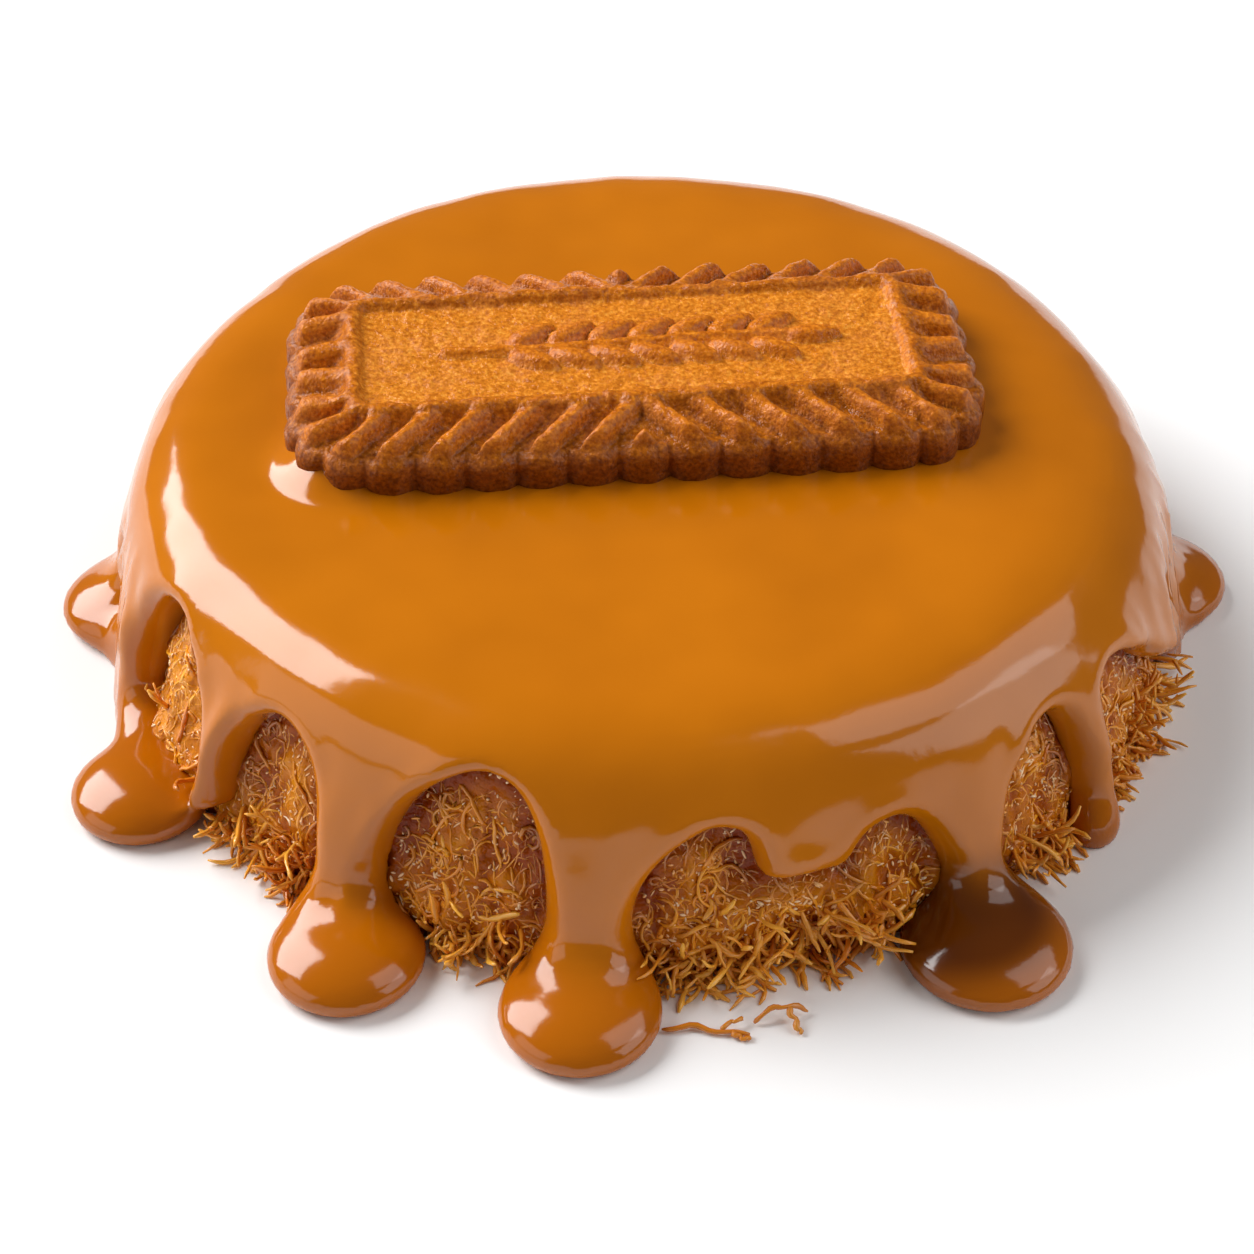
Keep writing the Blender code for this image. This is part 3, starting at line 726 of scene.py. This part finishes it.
def tubes(name, paths, radii, sides):
    """Round tubes along many paths, all with the same number of steps."""
    count, steps, _ = paths.shape
    ahead = np.gradient(paths, axis=1)
    ahead = ahead / np.linalg.norm(ahead, axis=2, keepdims=True)
    guide = rng.normal(size=(count, 1, 3))
    side = np.cross(ahead, guide)
    side = side / np.linalg.norm(side, axis=2, keepdims=True)
    other = np.cross(ahead, side)
    angles = np.linspace(0, 2 * math.pi, sides, endpoint=False)
    across = side[:, :, None] * np.cos(angles)[:, None] + other[:, :, None] * np.sin(angles)[:, None]
    points = paths[:, :, None] + radii[:, :, None, None] * across
    quads, bottom, top = loft_faces(steps, sides)
    offsets = (np.arange(count) * steps * sides)[:, None, None]
    faces = (quads[None] + offsets).reshape(-1, 4)
    ends = np.concatenate([bottom[None] + offsets, top[None] + offsets]).reshape(-1, sides)
    return mesh_object(name, points.reshape(-1, 3), faces[:, ::-1], ends[:, ::-1])


def tapered(count, steps, thin, thick):
    """Radii that swell and shrink at random along each shred, and close at both ends."""
    along = np.linspace(0, 1, steps)
    size = rng.uniform(thin, thick, (count, 1))
    uneven = 1 + 0.2 * np.sin(along * rng.uniform(6, 20, (count, 1)) + rng.uniform(0, 6, (count, 1)))
    ends = np.minimum(1, 0.5 + 8 * np.minimum(along, 1 - along))
    return size * uneven * ends


def curled(starts, headings, lengths, steps, curl):
    """Paths of many shreds that bend at random as they go."""
    count = len(starts)
    paths = np.empty((count, steps, 3))
    paths[:, 0] = starts
    heading = headings / np.linalg.norm(headings, axis=1, keepdims=True)
    bend = rng.normal(size=(count, 3)) * curl
    for step in range(1, steps):
        bend = BEND_KEPT * bend + rng.normal(size=(count, 3)) * curl * 0.6
        kink = rng.normal(size=(count, 3)) * (rng.uniform(size=(count, 1)) < KINK_CHANCE) * KINK_SIZE
        heading = heading + bend + kink
        heading = heading / np.linalg.norm(heading, axis=1, keepdims=True)
        paths[:, step] = paths[:, step - 1] + heading * lengths[:, None] / (steps - 1)
    return paths


def shred_tone(paths, sides):
    """A tone for all points of each shred: alike in one neighbourhood, and darker at the root as painted
    shade among the dense shreds.
    """
    count, steps, _ = paths.shape
    nearby = 0.5 + 0.8 * noise(*paths[:, 0].T, TONE_SIZE, TONE_SEED)
    tone = np.clip(0.55 * rng.uniform(0, 1, count) + 0.45 * nearby, 0, 1)
    along = 0.65 + 0.35 * np.linspace(0, 1, steps) ** 0.7
    return np.repeat(tone[:, None] * along, sides, axis=1)


def add_shred_tones(shreds, paths, sides, shade_share=1.0):
    """The tone of all points of a piece made of shreds, and their painted shade with redder syrup under
    the glaze's edge.
    """
    add_tone(shreds, "tone", shred_tone(paths, sides))
    add_tone(shreds, "depth", shade_share * np.repeat(shade_under_glaze(paths), sides, axis=1))


def wandering(tries, steps, lengths):
    """Angles and heights of paths that wander over the wall, neighbours much alike."""
    turn = rng.uniform(-math.pi, math.pi, tries)
    height = rng.uniform(*LYING_HEIGHTS, tries)
    start = (CORE_BASE_RADIUS * np.cos(turn), CORE_BASE_RADIUS * np.sin(turn), height)
    nearby = noise(*start, NEIGHBOURHOOD, NEIGHBOURHOOD_SEED)
    heading = math.pi / 2 + 1.6 * nearby + rng.normal(0, 0.5, tries)
    curve = rng.normal(0, 0.28, tries)
    length = rng.uniform(*lengths, tries)
    turns, heights = [turn], [height]
    for _ in range(steps - 1):
        curve = curve + rng.normal(0, 0.14, tries)
        heading = heading + curve
        turn = turn + np.cos(heading) * length / (steps - 1) / CORE_BASE_RADIUS
        height = height + np.sin(heading) * length / (steps - 1)
        turns.append(turn)
        heights.append(height)
    return np.stack(turns, 1), np.stack(heights, 1)


def rim_inset(height):
    """How far the rounded rim draws in above the straight wall."""
    climb = smooth_step(CORE_HEIGHT - CORE_RIM_DROP, CORE_HEIGHT + 1, height)
    return CORE_RIM_REACH * (1 - np.sqrt(1 - climb ** 2 * 0.9))


def lying_shreds(name, count, steps, sides, lengths, thickness, lift):
    """Shreds that lie in the syrup film, in the openings only."""
    turns, heights = wandering(count * 4, steps, lengths)
    edge = edge_distance(turns, heights)
    inside = (edge.max(1) < 0.4) & (heights.min(1) > 0.3) & (heights.max(1) < LYING_HIGHEST)
    keep = np.flatnonzero(inside)[:count]
    turns, heights = turns[keep], heights[keep]
    along = np.linspace(0, 1, steps)
    raised = rng.uniform(-0.1, lift, (len(keep), 1)) * np.sin(along * math.pi) - 0.05
    away = core_radius(heights) + film_relief(turns, heights) + raised - rim_inset(heights)
    paths = around(away, turns, heights)
    shreds = tubes(name, paths, tapered(len(keep), steps, *thickness), sides)
    add_shred_tones(shreds, paths, sides)
    return shreds


def make_beads():
    """Beads and short ridges of syrup on the film."""
    tries = SYRUP_BEADS * 4
    turn = rng.uniform(-math.pi, math.pi, tries)
    height = rng.uniform(*BEAD_HEIGHTS, tries)
    keep = np.flatnonzero(edge_distance(turn, height) < -0.4)[:SYRUP_BEADS]
    turn, height = turn[keep], height[keep]
    count = len(keep)
    heading = rng.uniform(0, math.pi, (count, 1))
    length = rng.uniform(*BEAD_LENGTHS, (count, 1)) + rng.exponential(0.2, (count, 1))
    along = np.linspace(-0.5, 0.5, len(BEAD_PROFILE)) * length
    turns = turn[:, None] + along * np.cos(heading) / CORE_BASE_RADIUS
    heights = height[:, None] + along * np.sin(heading)
    away = core_radius(heights) + film_relief(turns, heights) + rng.uniform(0.0, 0.08, (count, 1))
    radii = rng.uniform(*BEAD_RADII, (count, 1)) * np.array(BEAD_PROFILE)
    return tubes("syrup_beads", around(away, turns, heights), radii, BEAD_SIDES)


def bushiness(turn):
    """How far the loose fringe stands out: most at the right front and at the back."""
    angle = np.degrees(turn)
    full = sum(bell(angle, *tuft) for tuft in FULL_TUFTS)
    return 1 + full - bell(angle, *THIN_TUFT)


def fringe_roots():
    """Angles, heights and bushiness where the loose shreds start, low in the openings."""
    tries = FRINGE_SHREDS * 3
    turn = rng.uniform(-math.pi, math.pi, tries)
    bushy = bushiness(turn)
    height = np.abs(rng.normal(0, 1.8, tries)) * bushy ** 1.5 + 0.4
    edge = edge_distance(turn, np.maximum(height, 1.2))
    keep = np.flatnonzero((edge < -0.6) & (height < FRINGE_TOP))[:FRINGE_SHREDS]
    return turn[keep], height[keep], bushy[keep]


def fringe_headings(turn):
    """Where the loose shreds point: outwards, a little sideways and mostly down."""
    count = len(turn)
    out = np.stack([np.cos(turn), np.sin(turn), 0 * turn], 1)
    along = np.stack([-np.sin(turn), np.cos(turn), 0 * turn], 1)
    up = np.array((0, 0, 1.0))
    headings = out * rng.uniform(0.25, 1.0, (count, 1)) + along * rng.normal(0, 0.7, (count, 1))
    return headings + up * rng.normal(-0.5, 0.4, (count, 1))


def forks_of(paths, lengths):
    """Shorter shreds that branch off halfway along a third of the shreds."""
    count, steps, _ = paths.shape
    chosen = rng.choice(count, count // 3, replace=False)
    split = steps // 2
    swerve = rng.normal(0, 0.8, (len(chosen), 3))
    headings = paths[chosen, split] - paths[chosen, split - 1]
    headings = headings / np.linalg.norm(headings, axis=1, keepdims=True) + swerve
    return curled(paths[chosen, split], headings, lengths[chosen] * FORK_LENGTH_SHARE, steps, FORK_CURL)


def clear_of_glaze(paths):
    """Which shreds stay in an opening, and outside the drips and pools."""
    x, y, z = np.moveaxis(paths, 2, 0)
    in_opening = edge_distance(np.arctan2(y, x), z).max(1) < 0.9
    return in_opening & (glaze_outside(x, y, z).min(1) > GLAZE_CLEARANCE)


def make_fringe():
    """Loose shreds that stick out round the foot, some of them forked."""
    turn, height, bushy = fringe_roots()
    count = len(turn)
    away = core_radius(height) + film_relief(turn, height) - 0.4
    headings = fringe_headings(turn)
    lengths = rng.uniform(*FRINGE_LENGTHS, count) * bushy ** 0.6
    paths = curled(around(away, turn, height), headings, lengths, FRINGE_STEPS, FRINGE_CURL)
    radii = tapered(count, FRINGE_STEPS, *FRINGE_RADII)
    forks = forks_of(paths, lengths)
    paths = np.concatenate([paths, forks])
    radii = np.concatenate([radii, tapered(len(forks), FRINGE_STEPS, *FORK_RADII)])
    paths[..., 2] = np.maximum(paths[..., 2], radii + ABOVE_TABLE)
    clear = clear_of_glaze(paths)
    paths, radii = paths[clear], radii[clear]
    fringe = tubes("fringe_shreds", paths, radii, FRINGE_SIDES)
    add_shred_tones(fringe, paths, FRINGE_SIDES, shade_share=0.5)
    return fringe


def make_sprig():
    """Two forked twigs of pastry that lie on the table in front."""
    places = np.linspace(0, 3, TWIG_STEPS)
    paths = np.array([[np.interp(places, range(4), axis) for axis in zip(*twig)] for twig in TWIGS])
    paths = np.moveaxis(paths, 1, 2)
    paths[..., :2] += 0.12 * np.sin(places * 5 + rng.uniform(0, 6, (len(TWIGS), 1)))[..., None]
    radii = tapered(len(TWIGS), TWIG_STEPS, *TWIG_RADII)
    paths[..., 2] = np.maximum(paths[..., 2], radii + ABOVE_TABLE)
    sprig = tubes("sprig", paths, radii, TWIG_SIDES)
    add_tone(sprig, "tone", 0.5 * shred_tone(paths, TWIG_SIDES))
    add_tone(sprig, "depth", np.full(paths[..., 0].size * TWIG_SIDES, 0.2))
    return sprig


def biscuit_outline():
    """Points round the biscuit and their outward directions, places along a quarter of its
    outline from 0 to 1, how far they face its end from 0 to 1, and the quarter's length."""
    half_length = BISCUIT_LENGTH / 2 - BISCUIT_CORNER
    half_width = BISCUIT_WIDTH / 2 - BISCUIT_CORNER
    arc = BISCUIT_CORNER * math.pi / 2
    quarter = half_length + arc + half_width
    steps = int(SCALLOPS_PER_QUARTER * EDGE_STEPS_PER_SCALLOP)
    walk = (np.arange(steps) + 0.5) / steps * quarter
    bend = np.clip((walk - half_length) / arc, 0, 1) * math.pi / 2
    outward = np.stack([np.sin(bend), np.cos(bend)], 1)
    x = np.minimum(walk, half_length) + BISCUIT_CORNER * outward[:, 0]
    y = half_width + BISCUIT_CORNER * outward[:, 1] - np.maximum(walk - half_length - arc, 0)
    points = np.stack([x, y], 1)
    share = walk / quarter
    turned = []
    for side, order in (((1, 1), 1), ((1, -1), -1), ((-1, -1), 1), ((-1, 1), -1)):
        turned.append((points[::order] * side, outward[::order] * side, share[::order], bend[::order]))
    joined = [np.concatenate(parts)[::-1] for parts in zip(*turned)]
    return joined[0], joined[1], joined[2], joined[3] / (math.pi / 2), quarter


def ear_height(along, across):
    """The height of the wheat ear above the biscuit's panel."""
    height = np.zeros_like(along)
    first = -EAR_LENGTH / 2 + EAR_BARE_STEM
    spacing = (EAR_LENGTH - EAR_BARE_IN_ALL) / (EAR_PAIRS - 1)
    grains = [(first + spacing * pair, side) for pair in range(EAR_PAIRS) for side in (-1, 1)]
    lean = math.radians(GRAIN_LEAN)
    for place, side in grains + [(EAR_LENGTH / 2 + 0.6, 0)]:
        tilt = lean * side
        right = along - place - GRAIN_SIZE[0] * 0.5
        back = across - side * GRAIN_SPREAD
        u = (right * math.cos(tilt) + back * math.sin(tilt)) / GRAIN_SIZE[0]
        v = (back * math.cos(tilt) - right * math.sin(tilt)) / GRAIN_SIZE[1]
        round_part = np.sqrt(np.maximum(1 - u * u - v * v * (1 + 0.35 * np.clip(u, -1, 1)), 0))
        height = np.maximum(height, GRAIN_SIZE[2] * round_part ** 0.7)
    reach = np.clip(along, -EAR_LENGTH / 2 - 2, EAR_LENGTH / 2)
    curve = 0.35 * np.sin(along / 6)
    stem = np.sqrt(np.maximum(1 - ((across - curve) ** 2 + (along - reach) ** 2) / STEM_RADIUS ** 2, 0))
    return np.maximum(height, STEM_HEIGHT * stem ** 0.7)


def smooth_rings(rows, between):
    """More rings between the given ones, on smooth curves."""
    rows = np.array(rows)
    spots = np.arange(len(rows))
    fine = np.linspace(0, len(rows) - 1, (len(rows) - 1) * between + 1)
    slopes = np.gradient(rows, axis=0)
    start = np.minimum(fine.astype(int), len(rows) - 2)
    t = (fine - spots[start])[:, None]
    a, b, p, q = rows[start], rows[start + 1], slopes[start], slopes[start + 1]
    curve = (2 * t ** 3 - 3 * t ** 2 + 1) * a + (t ** 3 - 2 * t ** 2 + t) * p
    return curve + (3 * t ** 2 - 2 * t ** 3) * b + (t ** 3 - t ** 2) * q


def rib_crests(phase, inset, to_end, quarter):
    """How high the slanted ribs stand, from 0 between them to 1 on their crests."""
    slip = RIB_SLANT * (1 - 0.8 * to_end) * inset / quarter
    place = phase + slip * SCALLOPS_PER_QUARTER - 0.2
    off_crest = (place - np.round(place)) / RIB_HALF_WIDTH
    return np.sqrt(np.maximum(1 - off_crest ** 2, 0)) ** 0.8


def with_panel(rings, value):
    """Values of the border's rings, with one value for all of the panel's rings added."""
    return np.concatenate([rings, np.full((PANEL_RINGS, rings.shape[1]), value)])


def panel_plan(edge, points):
    """The panel's rings in plan, from its edge to its spine."""
    spine = np.stack([np.clip(points[:, 0], -PANEL_SPINE, PANEL_SPINE), 0 * points[:, 1]], 1)
    inward = (np.arange(1, PANEL_RINGS + 1) / PANEL_RINGS)[:, None, None]
    return edge[None] * (1 - inward) + spine[None] * inward


def biscuit_grain(x, y, height, on_panel):
    grain = sum(bumps(x, y, height, layer) for layer in FINE_GRAIN)
    return grain + bumps(x, y, height, COARSE_GRAIN) * (1 - on_panel)


def make_biscuit():
    """The biscuit as rings round its outline: side, ribbed border, frame and panel."""
    points, outward, share, to_end, quarter = biscuit_outline()
    rows = smooth_rings(BISCUIT_RINGS, RINGS_BETWEEN)
    inset, level, scallop, rib = [column[:, None] for column in rows.T]
    phase = share * SCALLOPS_PER_QUARTER
    lobe = np.abs(np.cos(math.pi * phase)) ** 0.6 - 1
    crest = rib_crests(phase, inset, to_end, quarter)
    border = inset * (1 + END_BORDER_EXTRA * to_end)
    out = SCALLOP_DEPTH * scallop * lobe - border
    flat = points[None] + out[..., None] * outward[None]
    flat = np.concatenate([flat, panel_plan(flat[-1], points)])
    height = with_panel(level + RIB_HEIGHT * rib * (crest - 0.15), BISCUIT_RINGS[-1][1])
    on_panel = smooth_step(*PANEL_STARTS, with_panel(border, WELL_INSIDE))
    ear = ear_height(flat[..., 0], flat[..., 1]) * on_panel
    grain = biscuit_grain(flat[..., 0], flat[..., 1], height, on_panel)
    calm = 1 - 0.6 * np.clip(ear, 0, 1)
    height = height + ear + grain * calm
    swell = bumps(flat[..., 0], flat[..., 1], height, SIDE_GRAIN)
    swell[-PANEL_RINGS:] = 0
    flat = flat + swell[..., None] * outward[None]
    x, y = from_biscuit(flat[..., 0], flat[..., 1])
    rings = np.stack([x, y, height + GLAZE_HEIGHT - BISCUIT_SUNK], -1)
    quads, bottom, _ = loft_faces(len(rings), len(points))
    biscuit = mesh_object("biscuit", rings.reshape(-1, 3), quads, bottom)
    raised = np.maximum(with_panel(crest * rib, 0.0), np.clip(1.4 * ear, 0, 1))
    on_frame = bell(with_panel(inset + 0 * share, WELL_INSIDE), *FRAME_TONE)
    add_tone(biscuit, "raised", np.maximum(raised, on_frame))
    add_tone(biscuit, "upper", smooth_step(*UPPER_STARTS, height))
    add_tone(biscuit, "panel", on_panel + 0 * height)
    merge_doubles(biscuit)
    return biscuit


def merge_doubles(piece):
    """Joins points that lie on each other."""
    bm = bmesh.new()
    bm.from_mesh(piece.data)
    bmesh.ops.remove_doubles(bm, verts=bm.verts, dist=0.002 * MM)
    bm.to_mesh(piece.data)
    bm.free()


def new_material(name):
    material = bpy.data.materials.new(name)
    material.use_nodes = True
    shader = material.node_tree.nodes["Principled BSDF"]
    return material, material.node_tree.nodes, material.node_tree.links, shader


def noise_node(nodes, links, size, detail=2.0):
    """Noise in the piece's own directions, with bumps a given number of millimetres apart."""
    coordinates = nodes.new("ShaderNodeTexCoord")
    texture = nodes.new("ShaderNodeTexNoise")
    texture.inputs["Scale"].default_value = 1 / (size * MM)
    texture.inputs["Detail"].default_value = detail
    links.new(coordinates.outputs["Object"], texture.inputs["Vector"])
    return texture.outputs["Fac"]


def ramp_node(nodes, links, value, *stops):
    """A colour from a value, by places and their colours."""
    ramp = nodes.new("ShaderNodeValToRGB")
    elements = ramp.color_ramp.elements
    while len(elements) < len(stops):
        elements.new(0.5)
    for element, (place, colour) in zip(elements, stops):
        element.position = place
        element.color = (*colour, 1)
    links.new(value, ramp.inputs["Fac"])
    return ramp.outputs["Color"]


def mix_node(nodes, links, share, first, second):
    """One colour turned into another by a share; either is a fixed colour or a node's."""
    mix = nodes.new("ShaderNodeMix")
    mix.data_type = "RGBA"
    links.new(share, mix.inputs["Factor"])
    for socket, colour in ((mix.inputs["A"], first), (mix.inputs["B"], second)):
        if isinstance(colour, tuple):
            socket.default_value = (*colour, 1)
        else:
            links.new(colour, socket)
    return mix.outputs["Result"]


def tone_node(nodes, name):
    """The value that add_tone gave to the points."""
    tone = nodes.new("ShaderNodeAttribute")
    tone.attribute_name = name
    return tone.outputs["Fac"]


def range_node(nodes, links, value, low, high, start, end):
    """A value stretched so that low to high becomes start to end."""
    scale = nodes.new("ShaderNodeMapRange")
    scale.inputs["From Min"].default_value = low
    scale.inputs["From Max"].default_value = high
    scale.inputs["To Min"].default_value = start
    scale.inputs["To Max"].default_value = end
    links.new(value, scale.inputs["Value"])
    return scale.outputs["Result"]


def bump_node(nodes, links, shader, height, depth):
    """Fine relief in the shading, of a depth in millimetres."""
    bump = nodes.new("ShaderNodeBump")
    bump.inputs["Distance"].default_value = depth * MM
    links.new(height, bump.inputs["Height"])
    links.new(bump.outputs["Normal"], shader.inputs["Normal"])


def glaze_material():
    material, nodes, links, shader = new_material("caramel")
    cloudy = noise_node(nodes, links, 14.0)
    colour = ramp_node(nodes, links, cloudy, (0.3, CARAMEL_DEEP), (0.7, CARAMEL_CLEAR))
    colour = mix_node(nodes, links, tone_node(nodes, "low"), colour, CARAMEL_LOW)
    # Painted shadow on the right front pool
    colour = mix_node(nodes, links, tone_node(nodes, "dark"), colour, CARAMEL_PAINTED_SHADOW)
    links.new(colour, shader.inputs["Base Color"])
    shader.inputs["Roughness"].default_value = 0.11
    shader.inputs["IOR"].default_value = 1.5
    bump_node(nodes, links, shader, noise_node(nodes, links, 0.9, 4.0), 0.012)
    return material


def film_material():
    material, nodes, links, shader = new_material("syrup")
    stops = ((0.15, SYRUP_HOLLOW), (0.45, SYRUP_FLANK), (0.85, SYRUP_RIDGE))
    amber = ramp_node(nodes, links, tone_node(nodes, "relief"), *stops)
    ruddy = mix_node(nodes, links, noise_node(nodes, links, 3.0), amber, SYRUP_RUDDY)
    # Painted shade, with redder syrup, under the glaze's edge and at the foot
    colour = mix_node(nodes, links, tone_node(nodes, "depth"), ruddy, SYRUP_SHADED)
    links.new(colour, shader.inputs["Base Color"])
    shader.inputs["Roughness"].default_value = 0.08
    shader.inputs["Specular IOR Level"].default_value = 0.16
    bump_node(nodes, links, shader, noise_node(nodes, links, 0.7), 0.25)
    return material


def bead_material():
    material, nodes, links, shader = new_material("syrup_bead")
    cloudy = noise_node(nodes, links, 3.0)
    # The pale beads are painted glints
    colour = ramp_node(nodes, links, cloudy, (0.35, BEAD_AMBER), (0.65, BEAD_PAINTED_GLINT))
    links.new(colour, shader.inputs["Base Color"])
    shader.inputs["Roughness"].default_value = 0.06
    shader.inputs["Specular IOR Level"].default_value = 1.0
    return material


def shred_material(name, dark, light, syrup_and_shade, rough, coat):
    material, nodes, links, shader = new_material(name)
    golden = ramp_node(nodes, links, tone_node(nodes, "tone"), (0.0, dark), (1.0, light))
    # Painted shade, with redder syrup, under the glaze's edge
    with_syrup_and_shade = mix_node(nodes, links, tone_node(nodes, "depth"), golden, syrup_and_shade)
    links.new(with_syrup_and_shade, shader.inputs["Base Color"])
    wet = range_node(nodes, links, noise_node(nodes, links, 3.0), 0.35, 0.65, rough, 0.12)
    links.new(wet, shader.inputs["Roughness"])
    shader.inputs["Coat Weight"].default_value = coat
    shader.inputs["Coat Roughness"].default_value = 0.04
    bump_node(nodes, links, shader, noise_node(nodes, links, 0.3), 0.06)
    return material


def biscuit_material():
    material, nodes, links, shader = new_material("baked")
    speckle = noise_node(nodes, links, 0.4, 4.0)
    panel = ramp_node(nodes, links, speckle, *PANEL_COLOURS)
    raised = ramp_node(nodes, links, speckle, *RAISED_COLOURS)
    border = ramp_node(nodes, links, speckle, *BORDER_COLOURS)
    sides = ramp_node(nodes, links, speckle, *SHADED_SIDE_COLOURS)
    colour = mix_node(nodes, links, tone_node(nodes, "panel"), border, panel)
    colour = mix_node(nodes, links, tone_node(nodes, "raised"), colour, raised)
    # The sides' darker colours are painted shade
    colour = mix_node(nodes, links, tone_node(nodes, "upper"), sides, colour)
    links.new(colour, shader.inputs["Base Color"])
    wet = range_node(nodes, links, noise_node(nodes, links, 4.0), 0.40, 0.54, 0.42, 0.08)
    links.new(wet, shader.inputs["Roughness"])
    shader.inputs["Specular IOR Level"].default_value = 0.22
    bump_node(nodes, links, shader, noise_node(nodes, links, 0.28, 3.0), 0.13)
    return material


def floor_material():
    material, nodes, links, shader = new_material("paper")
    shader.inputs["Base Color"].default_value = (FLOOR_WHITE, FLOOR_WHITE, FLOOR_WHITE, 1)
    shader.inputs["Roughness"].default_value = 0.9
    shader.inputs["Specular IOR Level"].default_value = 0.1
    return material


def dress(piece, material, node):
    """Gives a piece its material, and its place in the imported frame."""
    piece.data.materials.append(material)
    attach(piece, "root")
    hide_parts(node)


def make_floor():
    corners = FLOOR_REACH * np.array([(-1, -1, 0), (1, -1, 0), (1, 1, 0), (-1, 1, 0)])
    floor = mesh_object("floor", corners, np.array([(0, 1, 2, 3)]))
    floor.data.materials.append(floor_material())


def area_light(name, direction, long_side, size, brightness):
    """A rectangular light that faces the cake, its length along long_side."""
    data = bpy.data.lights.new(name, "AREA")
    data.shape = "RECTANGLE"
    data.size, data.size_y = size
    data.energy = brightness * math.pi * size[0] * size[1]
    lamp = bpy.data.objects.new(name, data)
    bpy.context.scene.collection.objects.link(lamp)
    back = Vector(direction).normalized()
    along = Vector(long_side)
    along = (along - back * along.dot(back)).normalized()
    lamp.location = back * LIGHT_DISTANCE
    lamp.rotation_euler = Matrix((along, back.cross(along), back)).transposed().to_euler()


def make_light():
    bpy.context.scene.view_settings.view_transform = "Standard"
    world = bpy.data.worlds.new("studio")
    world.use_nodes = True
    world.node_tree.nodes["Background"].inputs["Color"].default_value = (1, 1, 1, 1)
    world.node_tree.nodes["Background"].inputs["Strength"].default_value = WORLD_BRIGHTNESS
    bpy.context.scene.world = world
    for light in LIGHTS:
        area_light(*light)


def make_camera():
    camera = bpy.data.objects.new("camera", bpy.data.cameras.new("camera"))
    bpy.context.scene.collection.objects.link(camera)
    camera.location = CAMERA_PLACE
    camera.rotation_euler = (math.radians(CAMERA_TILT), 0, 0)
    camera.data.sensor_width = SENSOR_WIDTH
    camera.data.lens = LENS
    bpy.context.scene.camera = camera


golden = shred_material("golden_shred", *GOLDEN_SHRED)
amber = shred_material("amber_shred", *AMBER_SHRED)
dress(make_glaze(), glaze_material(), "caramel_glaze")
dress(make_film(), film_material(), "shredded_pastry")
dress(lying_shreds("net_shreds", *NET_SHREDS), amber, "shredded_pastry")
dress(lying_shreds("wall_shreds", *WALL_SHREDS), amber, "shredded_pastry")
dress(make_beads(), bead_material(), "shredded_pastry")
dress(make_fringe(), golden, "shredded_pastry")
dress(make_sprig(), golden, "shredded_pastry")
dress(make_biscuit(), biscuit_material(), "ribbed_biscuit")
make_floor()
make_light()
make_camera()
